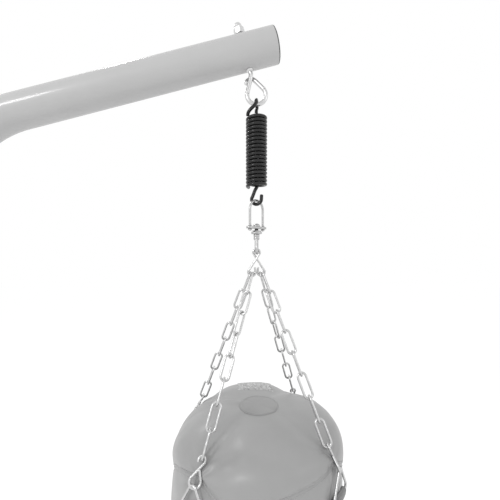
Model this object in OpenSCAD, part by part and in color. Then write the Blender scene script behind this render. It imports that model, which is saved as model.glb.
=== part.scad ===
// Free-standing heavy-bag stand with its hanging gear and bag.
// +Z is up, +X runs along the boom away from the mast, and the origin is on the
// floor straight under the bag. All sizes are in millimetres.

/* [Stand] */
// Outside diameter of the mast and boom tube
tube_d = 63.5; // [55:0.5:75]
// Wall of the mast and boom tube
tube_wall = 2.5; // [2:0.5:4]
// Height of the boom's axis above the floor at the bag's hanging axis
boom_height = 2050; // [2000:10:2150]
// Upward slope of the boom, in degrees
boom_slope = 15.4; // [10:0.1:20]
// Length of boom past the bag's hanging axis
boom_tip = 35; // [32:1:50]
// Straight length of boom behind the bag's hanging axis
boom_straight = 445; // [420:5:480]
// Centre-line radius of the bend between mast and boom
bend_radius = 200; // [180:5:230]
// Height at which the upper tube meets the lower mast
mast_split = 1150; // [1000:10:1250]
// Width of the base across both rails
base_width = 1060; // [1000:10:1100]
// Side of the square base tube
rail_size = 50; // [50:1:60]
// Wall of the square base tube
rail_wall = 2.5; // [2:0.5:4]
// Height of the rubber feet
foot_height = 12; // [8:1:20]
// Diameter of the pegs that take weight plates
peg_d = 25; // [24:0.5:28]
// Length of the pegs above the base
peg_length = 220; // [150:10:260]

/* [Hanging gear] */
// Height of the point where the four chain lines meet
chain_top = 1666; // [1660:1:1672]
// Wire of the eye bolt
eye_wire = 8; // [7:0.5:9]
// Wire of the extension spring
spring_wire = 6.5; // [6:0.1:7]
// Outside diameter of the extension spring
spring_od = 39.7; // [38:0.1:42]
// Number of coils in the spring
spring_coils = 19; // [19:1:19]
// Wire of the chain links and hooks
link_wire = 4; // [3.5:0.1:4.2]
// Links in each chain
link_count = 8; // [8:1:8]
// Outside width of a chain link
link_width = 18; // [17:0.5:20]

/* [Bag] */
// Diameter of the bag
bag_d = 302; // [295:1:310]
// Length of the bag's side wall
bag_length = 920; // [850:10:960]
// Rise of the bag's crown above its top seam
crown_rise = 78; // [74:1:82]
// Drop of the bag's bottom below its bottom seam
base_drop = 22; // [15:1:30]
// Thickness of the bag's cover
cover_t = 3; // [2:0.5:4]

/* [Hidden] */
$fn = 48;
tube_r = tube_d / 2;
boom_dir = [cos(boom_slope), 0, sin(boom_slope)];
bend_angle = 90 - boom_slope;
hang = [0, 0, boom_height];
bend_start = hang - boom_straight * boom_dir;
bend_centre = bend_start + bend_radius * [sin(boom_slope), 0, -cos(boom_slope)];
mast_x = bend_centre[0] - bend_radius;
bend_low = bend_centre[2];
base_rear = mast_x - rail_size / 2;
cap_t = 4;
clamp_reach = 25;
base_front = tube_r + clamp_reach - mast_x - cap_t;
rail_y = base_width / 2 - rail_size / 2;
rail_bottom = foot_height;
rail_top = foot_height + rail_size;
rail_length = base_front - base_rear - rail_size;

// Mast foot, sleeve and collar
foot_plate = [110, 200, 8];
foot_socket_h = 160;
sleeve_gap = 0.4;
sleeve_r = tube_r + 4;
sleeve_len = 260;
bolt_r = 5;
bolt_hole_r = 5.4;
mast_base_z = rail_top + foot_plate[2];
foot_bolt_xy = [for (x = [-1, 1], y = [-1, 1]) [x * 15, y * 82]];

// Braces, in the upright plane that each lies in
brace_r = 16;
brace_top_z = 520;
brace_foot_x = -190;
brace_foot = [brace_foot_x - mast_x, rail_y];
brace_angle = atan2(brace_foot[1], brace_foot[0]);
brace_run = norm(brace_foot);
ear_t = 6;
ear_r = 17;
cheek_t = 4;
brace_top_r = tube_r + 34;
bracket_h = 32;
brace_low_z = rail_top + bracket_h;
brace_span = [brace_run - brace_top_r, brace_low_z - brace_top_z];
brace_length = norm(brace_span);
brace_dip = atan2(brace_span[1], brace_span[0]);

// Pegs
peg_y = rail_y - 70;
peg_base_r = 24;
peg_base_h = 10;

// Eye bolt, measured from the centre of its eye
eye_r = 17.3;
eye_centre_z = chain_top + 300.8;
eye_neck = 34;
eye_to_boom = (boom_height - eye_centre_z) * cos(boom_slope);
nut_af = 17;
nut_h = 12;
washer_t = 2;

// Spring
wire_r = spring_wire / 2;
coil_r = spring_od / 2 - wire_r;
coil_top = chain_top + 264;
coil_bottom = chain_top + 129;
eye_low_z = eye_centre_z - eye_r;
hook_apex_z = eye_low_z + eye_wire / 2 + wire_r + 0.4;
top_hook_r = 9;
top_hook_z = hook_apex_z - top_hook_r;
low_hook_r = 9.15;
low_hook_z = chain_top + 108.6;
low_hook_bottom = low_hook_z - low_hook_r;

// Swivel
bow_wire_r = 2.2;
bow_r = 17.5;
bow_turn = 45;
low_hook_skew = -15;
bow_top_z = low_hook_bottom + wire_r + 1.5 + bow_wire_r;
bow_centre_z = bow_top_z - bow_r;
bar_size = [49, 12, 4];
bar_z = chain_top + 54;
stud_r = 3.5;
collar_r = 10;
collar_z = chain_top + 44.5;
collar_h = 6.5;
neck_r = 5.5;
neck_z = chain_top + 38;
loop_wire_r = 3.2;
loop_r = 7.6;
loop_low_z = chain_top + 10;

// Hooks and chains
hook_r = link_wire / 2;
fit_gap = 0.15;
chain_angle = 25.2;
chain_turns = [-38, 52, 142, 232];
side_of = [1, 1, -1, -1];
quarter_twist = [false, true, false, true];
low_hook_turn = [90, 0, 90, 0];
top_loop_r = 6;
hook_low_r = 6.6;
top_loop_z = loop_low_z + loop_r - 7;
low_loop_top_r = 5.2;
low_loop_low_r = 8.2;
top_hook_low = [10.2, 0, chain_top - 32.6];
link_pitch = 36;
link_bend = link_width / 2 - hook_r;
chain_end_r = 9 * link_pitch * sin(chain_angle);
chain_end_z = chain_top - 9 * link_pitch * cos(chain_angle);

// Bag
bag_r = bag_d / 2;
seam_z = chain_top - 348;
bag_foot_z = seam_z - bag_length;
crown_steps = 28;
ring_r = bag_r + 6.5;
ring_top_z = chain_top - 322;
ring_h = 44;
ring_base = 50;
ring_corner = 6;
strap_w = 46;
strap_t = 2.4;
strap_len = 120;
patch_r = 36;
label_size = [75, 44];
label_y = 84;

// ---------- shared shapes ----------

// A round rod from point a to point b.
module rod(a, b, r) {
  d = b - a;
  translate(a)
    rotate([0, acos(d[2] / norm(d)), atan2(d[1], d[0])])
      cylinder(r = r, h = norm(d));
}

// A bent wire in the X-Z plane: radius big, wire radius r, from angle a0 to a1.
module bend(big, r, a0, a1) {
  rotate([90, 0, 0]) rotate([0, 0, a0])
    rotate_extrude(angle = a1 - a0) translate([big, 0]) circle(r = r, $fn = 24);
}

// Points along an arc in the X-Z plane about centre c, from angle a0 to a1.
function arc(c, big, a0, a1, steps) =
  [for (k = [0:steps]) c + at(big, a0 + (a1 - a0) * k / steps)];

function unit(v) = v / norm(v);

// A bent wire of radius r swept along points, which never run along side.
module wire(points, r, closed = false, side = [0, 1, 0]) {
  n = len(points);
  m = 10;
  rings = [for (i = [0:n - 1])
    let (
      before = closed ? points[(i + n - 1) % n] : points[max(i - 1, 0)],
      after = closed ? points[(i + 1) % n] : points[min(i + 1, n - 1)],
      t = unit(after - before),
      u = unit(cross(t, side)),
      v = cross(u, t))
    for (j = [0:m - 1]) points[i] + r * (cos(360 * j / m) * u + sin(360 * j / m) * v)];
  spans = closed ? n : n - 1;
  walls = [for (i = [0:spans - 1], j = [0:m - 1])
    let (a = i * m + j, b = i * m + (j + 1) % m,
         c = ((i + 1) % n) * m + (j + 1) % m, d = ((i + 1) % n) * m + j)
    each [[a, b, c], [a, c, d]]];
  ends = closed ? [] : [
    [for (j = [m - 1:-1:0]) j], [for (j = [0:m - 1]) (n - 1) * m + j]];
  polyhedron(rings, concat(walls, ends), convexity = 6);
}

// A point in the X-Z plane at radius big and angle a.
function at(big, a) = [big * cos(a), 0, big * sin(a)];

// A straight tube along +Z.
module pipe(r, wall, h) {
  difference() {
    cylinder(r = r, h = h);
    translate([0, 0, -1]) cylinder(r = r - wall, h = h + 2);
  }
}

// A square tube along +X.
module square_tube(length) {
  inner = rail_size - 2 * rail_wall;
  difference() {
    translate([0, -rail_size / 2, 0]) cube([length, rail_size, rail_size]);
    translate([-1, -inner / 2, rail_wall]) cube([length + 2, inner, inner]);
  }
}

// A hexagon bolt along +Z with its head on top and a nut below; its shank spans grip.
module hex_bolt(grip) {
  translate([0, 0, -9]) cylinder(r = bolt_r, h = grip + 9.5);
  translate([0, 0, grip]) cylinder(r = 9, h = 6.4, $fn = 6);
  translate([0, 0, -8]) cylinder(r = 9, h = 8, $fn = 6);
}

// An S-hook in the X-Z plane: loop centres on Z, the lower loop drawn out like a pear.
module s_hook(top_r, low_r, span, top_end, tail_low) {
  lean = asin((top_r + low_r) / span);
  low = [0, 0, -span];
  tail = low + at(low_r, 180 - lean);
  wire(concat(
    arc([0, 0, 0], top_r, -top_end, 180 + lean, 14),
    arc(low, low_r, lean, -180 - lean, 16),
    [tail + tail_low * [sin(lean), 0, cos(lean)]]), hook_r);
}

// One oval chain link in the X-Z plane, its upper inner end at the origin.
module link(inner) {
  bow = link_bend;
  low = inner - 2 * (bow - hook_r);
  translate([0, 0, -(bow - hook_r)]) bend(bow, hook_r, 0, 180);
  translate([0, 0, -(bow - hook_r) - low]) bend(bow, hook_r, 180, 360);
  for (x = [-bow, bow])
    rod([x, 0, -(bow - hook_r) - low], [x, 0, -(bow - hook_r)], hook_r);
}

// Turns a child that hangs along -Z so that it hangs from point a towards point b.
module hang_along(a, b) {
  d = a - b;
  translate(a) rotate([0, acos(d[2] / norm(d)), atan2(d[1], d[0])]) children();
}

// ---------- base ----------

module rear_cross_tube() {
  color("silver") difference() {
    translate([mast_x, -base_width / 2, rail_bottom]) rotate([0, 0, 90])
      square_tube(base_width);
    for (p = foot_bolt_xy) translate([mast_x + p[0], p[1], 0])
      cylinder(r = bolt_hole_r, h = rail_top + 1);
    for (side = [-1, 1]) translate([mast_x, side * rail_y, 0])
      cylinder(r = bolt_hole_r, h = rail_top + 1);
  }
}

module side_rail(side) {
  color("silver") difference() {
    translate([base_rear + rail_size, side * rail_y, rail_bottom]) square_tube(rail_length);
    translate([base_rear + rail_size + 45, side * rail_y, 0])
      cylinder(r = bolt_hole_r, h = rail_top + 1);
  }
}

module left_side_rail() side_rail(1);
module right_side_rail() side_rail(-1);

// Corner plates over each joint of cross tube and rail.
module corner_plates() {
  color("silver") for (side = [-1, 1]) mirror([0, side > 0 ? 0 : 1, 0])
    translate([0, 0, rail_top]) difference() {
      linear_extrude(5) polygon([
        [base_rear + 3, rail_y + rail_size / 2 - 3], [base_rear + 3, rail_y - 40],
        [base_rear + rail_size - 3, rail_y - 40],
        [base_rear + rail_size + 70, rail_y - rail_size / 2 + 3],
        [base_rear + rail_size + 70, rail_y + rail_size / 2 - 3]]);
      for (x = [mast_x, base_rear + rail_size + 45])
        translate([x, rail_y, -1]) cylinder(r = bolt_hole_r, h = 8);
    }
}

module corner_bolts() {
  color("gainsboro") for (side = [-1, 1], x = [mast_x, base_rear + rail_size + 45])
    translate([x, side * rail_y, rail_bottom]) hex_bolt(rail_size + 5);
}

module tube_end_caps() {
  inner = rail_size - 2 * rail_wall;
  color([0.2, 0.2, 0.2]) {
    for (side = [-1, 1]) {
      translate([mast_x, side * base_width / 2, rail_bottom + rail_size / 2])
        rotate([-90 * side, 0, 0]) {
          translate([-inner / 2, -inner / 2, -20]) cube([inner, inner, 20]);
          translate([-rail_size / 2, -rail_size / 2, 0]) cube([rail_size, rail_size, cap_t]);
        }
      translate([base_front, side * rail_y, rail_bottom + rail_size / 2])
        rotate([0, 90, 0]) {
          translate([-inner / 2, -inner / 2, -20]) cube([inner, inner, 20]);
          translate([-rail_size / 2, -rail_size / 2, 0]) cube([rail_size, rail_size, cap_t]);
        }
    }
  }
}

module rubber_feet() {
  color([0.15, 0.15, 0.15])
    for (side = [-1, 1], x = [mast_x, base_front - 45])
      translate([x, side * (rail_y - (x < 0 ? 35 : 0)), 0])
        cylinder(r1 = 23, r2 = 21, h = foot_height);
}

module mast_foot() {
  color("silver") difference() {
    union() {
      translate([mast_x - foot_plate[0] / 2, -foot_plate[1] / 2, rail_top]) cube(foot_plate);
      translate([mast_x, 0, mast_base_z]) cylinder(r = sleeve_r, h = foot_socket_h);
      for (a = [0, 180]) translate([mast_x, 0, mast_base_z]) rotate([90, 0, a])
        translate([0, 0, -3]) linear_extrude(6) polygon([
          [sleeve_r - 1, 0], [foot_plate[0] / 2, 0], [foot_plate[0] / 2, 8], [sleeve_r - 1, 95]]);
      for (a = [90, 270]) translate([mast_x, 0, mast_base_z]) rotate([90, 0, a])
        translate([0, 0, -3]) linear_extrude(6) polygon([
          [sleeve_r - 1, 0], [66, 0], [66, 8], [sleeve_r - 1, 110]]);
    }
    translate([mast_x, 0, mast_base_z]) cylinder(r = tube_r + sleeve_gap, h = foot_socket_h + 1);
    for (p = foot_bolt_xy) translate([mast_x + p[0], p[1], 0])
      cylinder(r = bolt_hole_r, h = 200);
    translate([mast_x, -60, mast_base_z + 125]) rotate([-90, 0, 0])
      cylinder(r = bolt_hole_r, h = 120);
  }
}

module mast_foot_bolts() {
  color("gainsboro") {
    for (p = foot_bolt_xy) translate([mast_x + p[0], p[1], rail_bottom])
      hex_bolt(rail_size + foot_plate[2]);
    translate([mast_x, -sleeve_r, mast_base_z + 125]) rotate([-90, 0, 0])
      hex_bolt(2 * sleeve_r);
  }
}

// ---------- mast and boom ----------

module lower_mast() {
  color("silver") difference() {
    translate([mast_x, 0, mast_base_z]) pipe(tube_r, tube_wall, mast_split - mast_base_z);
    for (z = [mast_base_z + 125, mast_split - 65]) translate([mast_x, -60, z])
      rotate([-90, 0, 0]) cylinder(r = bolt_hole_r, h = 120);
  }
}

module mast_sleeve() {
  color("silver") difference() {
    translate([mast_x, 0, mast_split - sleeve_len / 2])
      pipe(sleeve_r, sleeve_r - tube_r - sleeve_gap, sleeve_len);
    for (z = [-65, 65]) translate([mast_x, -60, mast_split + z]) rotate([-90, 0, 0])
      cylinder(r = bolt_hole_r, h = 120);
  }
}

module sleeve_bolts() {
  color("gainsboro") for (z = [-65, 65])
    translate([mast_x, -sleeve_r, mast_split + z]) rotate([-90, 0, 0]) hex_bolt(2 * sleeve_r);
}

// Upper mast, bend and boom as one bent tube.
module boom_tube() {
  reach = boom_straight + boom_tip;
  color("silver") difference() {
    union() {
      translate([mast_x, 0, mast_split]) pipe(tube_r, tube_wall, bend_low - mast_split);
      translate(bend_centre) rotate([90, 0, 0]) rotate([0, 0, 180 - bend_angle])
        rotate_extrude(angle = bend_angle) translate([bend_radius, 0]) difference() {
          circle(r = tube_r);
          circle(r = tube_r - tube_wall);
        }
      translate(bend_start) rotate([0, 90 - boom_slope, 0]) pipe(tube_r, tube_wall, reach);
    }
    translate([mast_x, -60, mast_split + 65]) rotate([-90, 0, 0])
      cylinder(r = bolt_hole_r, h = 120);
    translate([0, 0, eye_centre_z]) rotate([0, -boom_slope, 0])
      cylinder(r = eye_wire / 2 + 0.3, h = 200);
  }
}

// Push-in plug with a thin domed rim.
module boom_end_plug() {
  color([0.3, 0.3, 0.3]) translate(hang + boom_tip * boom_dir)
    rotate([0, 90 - boom_slope, 0]) rotate_extrude() polygon([
      [0, -22], [tube_r - tube_wall, -22], [tube_r - tube_wall, 0], [tube_r - 0.4, 0],
      [tube_r - 1.2, 1.6], [tube_r - 4, 2.6], [0, 3.2]]);
}

// ---------- braces ----------

module ear(reach) {
  rotate([90, 0, 0]) translate([0, 0, -ear_t / 2]) difference() {
    union() {
      cylinder(r = ear_r, h = ear_t);
      translate([-reach, -ear_r, 0]) cube([reach, 2 * ear_r, ear_t]);
    }
    translate([0, 0, -1]) cylinder(r = bolt_hole_r, h = ear_t + 2);
  }
}

module brace_collar() {
  collar_wall_r = tube_r + 5;
  color("silver") translate([mast_x, 0, brace_top_z]) difference() {
    union() {
      translate([0, 0, -24]) cylinder(r = collar_wall_r, h = 48);
      for (side = [-1, 1]) rotate([0, 0, side * brace_angle])
        translate([brace_top_r, 0, 0]) ear(brace_top_r - tube_r - 2);
      translate([-tube_r - clamp_reach, -9, -20]) cube([26, 18, 40]);
    }
    translate([0, 0, -30]) cylinder(r = tube_r + 0.15, h = 60);
    translate([-tube_r - clamp_reach - 10, -2, -30]) cube([32, 4, 60]);
    translate([-collar_wall_r - 10, -20, 0]) rotate([-90, 0, 0]) cylinder(r = bolt_hole_r, h = 40);
  }
}

// A strut with a fork at each end, lying in the X-Z plane from the origin along +X.
module strut(length) {
  fork = 30;
  rotate([0, 90, 0]) translate([0, 0, fork]) pipe(brace_r, 2.5, length - 2 * fork);
  for (x = [0, length]) translate([x, 0, 0]) mirror([x > 0 ? 1 : 0, 0, 0]) difference() {
    union() {
      for (y = [-1, 1]) translate([0, y * (ear_t / 2 + 0.3 + cheek_t / 2), 0])
        rotate([90, 0, 0]) translate([0, 0, -cheek_t / 2]) {
          cylinder(r = 13, h = cheek_t);
          translate([0, -13, 0]) cube([fork, 26, cheek_t]);
        }
      rotate([0, 90, 0]) translate([0, 0, fork - 6]) cylinder(r = brace_r, h = 8);
    }
    translate([0, 30, 0]) rotate([90, 0, 0]) cylinder(r = bolt_hole_r, h = 60);
  }
}

module brace(side) {
  color("silver") translate([mast_x, 0, brace_top_z]) rotate([0, 0, side * brace_angle])
    translate([brace_top_r, 0, 0]) rotate([0, -brace_dip, 0]) strut(brace_length);
}

module left_brace() brace(1);
module right_brace() brace(-1);

module brace_brackets() {
  color("silver") for (side = [-1, 1])
    translate([brace_foot_x, side * rail_y, rail_top]) rotate([0, 0, side * brace_angle]) {
      translate([0, 0, bracket_h]) rotate([0, -90, 0]) ear(bracket_h - 2);
      rotate([0, 0, -side * brace_angle])
        translate([-35, -rail_size / 2 + 3, 0]) cube([70, rail_size - 6, 5]);
    }
}

module brace_bolts() {
  grip = ear_t + 0.6 + 2 * cheek_t;
  color("gainsboro") {
    for (side = [-1, 1]) translate([mast_x, 0, 0]) rotate([0, 0, side * brace_angle])
      for (p = [[brace_top_r, brace_top_z], [brace_run, brace_low_z]])
        translate([p[0], grip / 2, p[1]]) rotate([90, 0, 0]) hex_bolt(grip);
    translate([mast_x - tube_r - 15, 9, brace_top_z]) rotate([90, 0, 0]) hex_bolt(18);
  }
}

// ---------- weight pegs ----------

module plate_peg(side) {
  color("gainsboro") translate([mast_x, side * peg_y, rail_top]) rotate_extrude() polygon([
    [0, 0], [peg_base_r, 0], [peg_base_r, peg_base_h], [peg_d / 2, peg_base_h],
    [peg_d / 2, peg_length - 3], [peg_d / 2 - 3, peg_length], [0, peg_length]]);
}

module left_plate_peg() plate_peg(1);
module right_plate_peg() plate_peg(-1);

// ---------- eye bolt ----------

// Everything on the bolt's own axis, its eye centred on the origin.
module on_bolt() {
  translate([0, 0, eye_centre_z]) rotate([0, -boom_slope, 0]) children();
}

// Bent eye with its shank, and a small shoulder that stops it against the boom.
module eye_bolt() {
  spread = acos(eye_r / eye_neck);
  top = eye_to_boom + tube_r + washer_t + nut_h + 2;
  color("white") on_bolt() {
    wire(concat(
      [[0, 0, top], [0, 0, eye_neck + 8], [-1, 0, eye_neck + 2]],
      arc([0, 0, 0], eye_r, 90 + spread, 450 - spread, 20),
      [[6, 4.5, eye_neck - 7], [1, 8.4, eye_neck + 1], [-5, 8.2, eye_neck + 1],
       [-10, 5, eye_neck - 3], [-12, 1, eye_neck - 8]]), eye_wire / 2);
    translate([0, 0, eye_to_boom - tube_r - 4.2]) cylinder(r1 = 4.2, r2 = 6.2, h = 4);
  }
}

module eye_bolt_washer() {
  z = eye_to_boom + tube_r - 0.6;
  color("white") on_bolt() translate([0, 0, z]) difference() {
    cylinder(r = 11, h = washer_t + 1.6);
    translate([0, 0, -1]) cylinder(r = eye_wire / 2 + 0.3, h = 8);
    translate([-40, 0, eye_to_boom - z]) rotate([0, 90, 0]) cylinder(r = tube_r, h = 80);
  }
}

// Domed cap nut on the bolt's upper end.
module eye_bolt_nut() {
  base = eye_to_boom + tube_r + washer_t + 1;
  color("white") on_bolt() translate([0, 0, base]) difference() {
    union() {
      cylinder(r = nut_af / sqrt(3), h = nut_h, $fn = 6);
      translate([0, 0, nut_h]) cylinder(r = 7.4, h = 3);
      translate([0, 0, nut_h + 3]) sphere(r = 7.4);
    }
    translate([0, 0, -1]) cylinder(r = eye_wire / 2, h = nut_h + 2.5);
  }
}

// ---------- spring ----------

// Upper hook: a loop across the eye, then arms down to the coil's edge and centre.
module spring_upper_hook() {
  color([0.1, 0.1, 0.1]) wire(concat(
    [[-coil_r * 0.85, -coil_r * 0.5, coil_top + 1.6],
     [-coil_r * 0.7, -coil_r * 0.6, coil_top + 7],
     [-coil_r * 0.25, -top_hook_r - 0.6, top_hook_z - 8]],
    [for (k = [0:10]) [0, 0, top_hook_z] + top_hook_r * [0, -cos(19 * k), sin(19 * k)]],
    [[0, 6, coil_top + 10], [0, 4, coil_top + 1]]), wire_r, side = [1, 0, 0]);
}

// The coil body as a ribbed sleeve, one rib for each turn.
module spring_coil() {
  pitch = (coil_top - coil_bottom) / spring_coils;
  outline = [for (i = [0:spring_coils - 1], k = [0:2])
    [coil_r + (k == 1 ? wire_r : wire_r * 0.55), coil_bottom + pitch * (i + (k + 0.5) / 3)]];
  color([0.1, 0.1, 0.1]) rotate_extrude() polygon(concat(
    [[coil_r - wire_r, coil_bottom], [coil_r, coil_bottom]], outline,
    [[coil_r, coil_top], [coil_r - wire_r, coil_top]]));
}

// Lower hook: an open C under the coil's centre.
module spring_lower_hook() {
  color([0.1, 0.1, 0.1]) rotate([0, 0, low_hook_skew]) wire(concat(
    [[0, 0, coil_bottom - 0.5], [-3, 0, coil_bottom - 4]],
    arc([0, 0, low_hook_z], low_hook_r, 150, 360, 16),
    [[low_hook_r + 0.4, 0, low_hook_z + 7]]), wire_r);
}

// ---------- swivel ----------

module swivel_bow() {
  color("gainsboro") rotate([0, 0, bow_turn]) wire(concat(
    [[bow_r, 0, bar_z - 2]], arc([0, 0, bow_centre_z], bow_r, 0, 180, 16),
    [[-bow_r, 0, bar_z - 2]]), bow_wire_r);
}

module swivel_bar() {
  color("gainsboro") rotate([0, 0, bow_turn]) difference() {
    translate([-bar_size[0] / 2, -bar_size[1] / 2, bar_z]) cube(bar_size);
    translate([0, 0, bar_z - 1]) cylinder(r = stud_r + 0.1, h = 8);
    for (x = [-bow_r, bow_r]) translate([x, 0, bar_z - 1]) cylinder(r = bow_wire_r + 0.1, h = 8);
  }
}

// Rivet that the lower half turns on.
module swivel_stud() {
  color("gainsboro") {
    translate([0, 0, neck_z + 2]) cylinder(r = stud_r, h = bar_z + bar_size[2] - neck_z - 1.6);
    translate([0, 0, bar_z + bar_size[2] + 0.2]) intersection() {
      translate([0, 0, -1.4]) sphere(r = 7.2);
      cylinder(r = 8, h = 7);
    }
  }
}

module swivel_collar() {
  color("gainsboro") translate([0, 0, collar_z]) difference() {
    union() {
      cylinder(r = collar_r, h = collar_h * 0.6);
      translate([0, 0, collar_h * 0.6]) cylinder(r = collar_r - 1.5, h = collar_h * 0.4 - 0.3);
    }
    translate([0, 0, -1]) cylinder(r = stud_r, h = collar_h + 2);
  }
}

// Turned neck with a long wire eye under it, the eye across the boom.
module swivel_eye() {
  low = loop_low_z + loop_r;
  color("gainsboro") {
    difference() {
      translate([0, 0, neck_z - 5]) cylinder(r = neck_r, h = collar_z - neck_z + 5);
      translate([0, 0, neck_z + 2]) cylinder(r = stud_r + 0.1, h = 12);
    }
    rotate([0, 0, 90]) wire(concat([[3.2, 0, neck_z - 5.2]],
      arc([0, 0, low], loop_r, 0, -180, 14), [[-3.2, 0, neck_z - 5.2]]), loop_wire_r);
  }
}

// ---------- hooks and chains ----------

// Lean and place of each upper S-hook: 1 is towards +X, -1 towards -X.
module top_s_hook(side) {
  start = [0, side * (hook_r + fit_gap), top_loop_z];
  d = top_hook_low - [0, 0, top_loop_z];
  span = norm(d) - hook_low_r;
  color("white") translate(start) mirror([side > 0 ? 0 : 1, 0, 0])
    rotate([0, -atan2(d[0], -d[2]), 0]) s_hook(top_loop_r, hook_low_r, span, 10, 8);
}

module right_top_s_hook() top_s_hook(1);
module left_top_s_hook() top_s_hook(-1);

// Where chain i starts, on its upper S-hook, and ends, on its lower one.
function chain_from(i) = [side_of[i] * top_hook_low[0], 0, top_hook_low[2]]
  + [side_of[i] * (quarter_twist[i] ? -3 : 1.5), side_of[i] * (hook_r + fit_gap),
     quarter_twist[i] ? 3.8 : 4.4];

// Compass turn of link k's width in chain i; two of the chains take an extra quarter twist.
function link_turn(i, k) = 90 + 90 * k - (quarter_twist[i] ? 22.5 * min(k, 4) : 0);

function chain_to(i) =
  [chain_end_r * cos(chain_turns[i]), chain_end_r * sin(chain_turns[i]), chain_end_z];

module chain(i) {
  a = chain_from(i);
  b = chain_to(i);
  d = a - b;
  pitch = norm(d) / link_count;
  az = atan2(d[1], d[0]);
  color("white") hang_along(a, b) for (k = [0:link_count - 1])
    translate([0, 0, -k * pitch + fit_gap]) rotate([0, 0, link_turn(i, k) - az])
      link(pitch + 2 * fit_gap);
}

module front_right_chain() chain(0);
module back_right_chain() chain(1);
module back_left_chain() chain(2);
module front_left_chain() chain(3);

// Lower S-hook: from the chain's last link out to the ring on the bag's wall.
module low_s_hook(i) {
  turn = chain_turns[i];
  a = chain_to(i);
  b = [ring_r * cos(turn), ring_r * sin(turn), ring_top_z - link_wire - 0.2];
  d = a - b;
  span = norm(d) - low_loop_top_r + hook_r - low_loop_low_r;
  color("white") hang_along(a, b) rotate([0, 0, low_hook_turn[i] - atan2(d[1], d[0])])
    mirror([low_hook_turn[i] == 0 ? 1 : 0, 0, 0])
      translate([0, 0, hook_r - low_loop_top_r])
        s_hook(low_loop_top_r, low_loop_low_r, span, 30, 12);
}

module front_right_s_hook() low_s_hook(0);
module back_right_s_hook() low_s_hook(1);
module back_left_s_hook() low_s_hook(2);
module front_left_s_hook() low_s_hook(3);

// Triangular ring, flat against the bag's wall with its point up.
module bag_ring(i) {
  half = ring_base / 2 - ring_corner;
  tip = ring_h - 2 * ring_corner;
  slope = atan2(tip, half);
  color("white") rotate([0, 0, chain_turns[i]])
    translate([ring_r, 0, ring_top_z - ring_corner]) rotate([0, 0, 90])
      wire(concat(
        arc([0, 0, 0], ring_corner, 90 - slope, 90 + slope, 6),
        arc([-half, 0, -tip], ring_corner, 90 + slope, 270, 6),
        arc([half, 0, -tip], ring_corner, -90, 90 - slope, 6)), hook_r, closed = true);
}

module front_right_ring() bag_ring(0);
module back_right_ring() bag_ring(1);
module back_left_ring() bag_ring(2);
module front_left_ring() bag_ring(3);

// Webbing strap sewn to the wall and folded over the ring's base.
module bag_strap(i) {
  bar_z0 = ring_top_z - ring_h;
  w = strap_w - 10;
  color("dimgray") rotate([0, 0, chain_turns[i]]) {
    intersection() {
      translate([0, 0, bar_z0 - strap_len]) difference() {
        cylinder(r = bag_r + 0.2 + strap_t, h = strap_len - 1);
        translate([0, 0, -1]) cylinder(r = bag_r + 0.2, h = strap_len);
      }
      translate([0, -w / 2, bar_z0 - strap_len]) cube([bag_r * 2, w, strap_len]);
    }
    translate([ring_r, -w / 2, bar_z0]) rotate([-90, 0, 0]) difference() {
      cylinder(r = hook_r + 0.2 + strap_t, h = w);
      translate([0, 0, -1]) cylinder(r = hook_r + 0.2, h = w + 2);
    }
  }
}

module front_right_strap() bag_strap(0);
module back_right_strap() bag_strap(1);
module back_left_strap() bag_strap(2);
module front_left_strap() bag_strap(3);

// ---------- bag ----------

// Height of the crown above the seam at radius r, for a crown of radius big.
function crown(r, big, rise) = rise * pow(max(0, 1 - pow(r / big, 2.8)), 0.58);

// Outline of a crown from the centre out to its rim.
function crown_line(big, rise) = [for (k = [0:crown_steps])
  let (r = big * sin(90 * k / crown_steps)) [r, crown(r, big, rise)]];

// A thin crown of a given outer radius and rise.
module crown_shell(big, rise, t) {
  outer = crown_line(big, rise);
  inner = crown_line(big - t, rise - t);
  rotate_extrude() polygon(concat(outer, [for (k = [crown_steps:-1:0]) inner[k]]));
}

module bag_filling() {
  r = bag_r - cover_t - 0.6;
  top = crown_line(r, crown_rise - cover_t - 1);
  low = crown_line(r, base_drop - cover_t - 1);
  color("gray") rotate_extrude() polygon(concat(
    [for (p = low) [p[0], bag_foot_z - p[1]]],
    [for (k = [crown_steps:-1:0]) [top[k][0], seam_z + top[k][1]]]));
}

module bag_side_wall() {
  color("darkgray") translate([0, 0, bag_foot_z]) pipe(bag_r, cover_t, bag_length);
}

module bag_top_panel() {
  color("darkgray") translate([0, 0, seam_z]) crown_shell(bag_r, crown_rise, cover_t);
}

module bag_bottom_panel() {
  color("darkgray") translate([0, 0, bag_foot_z]) mirror([0, 0, 1])
    crown_shell(bag_r, base_drop, cover_t);
}

// Round reinforcing disc sewn on the middle of the crown.
module bag_top_patch() {
  color("gray") translate([0, 0, seam_z]) intersection() {
    crown_shell(bag_r + 1.5, crown_rise + 1.5, 1.5);
    cylinder(r = patch_r, h = crown_rise * 2);
  }
}

// Plain rectangular label sewn on the back of the crown.
module bag_label_patch() {
  color("gray") translate([0, 0, seam_z]) intersection() {
    crown_shell(bag_r + 1.5, crown_rise + 1.5, 1.5);
    translate([-label_size[0] / 2, label_y - label_size[1] / 2, 20])
      cube([label_size[0], label_size[1], crown_rise]);
  }
}

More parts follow.
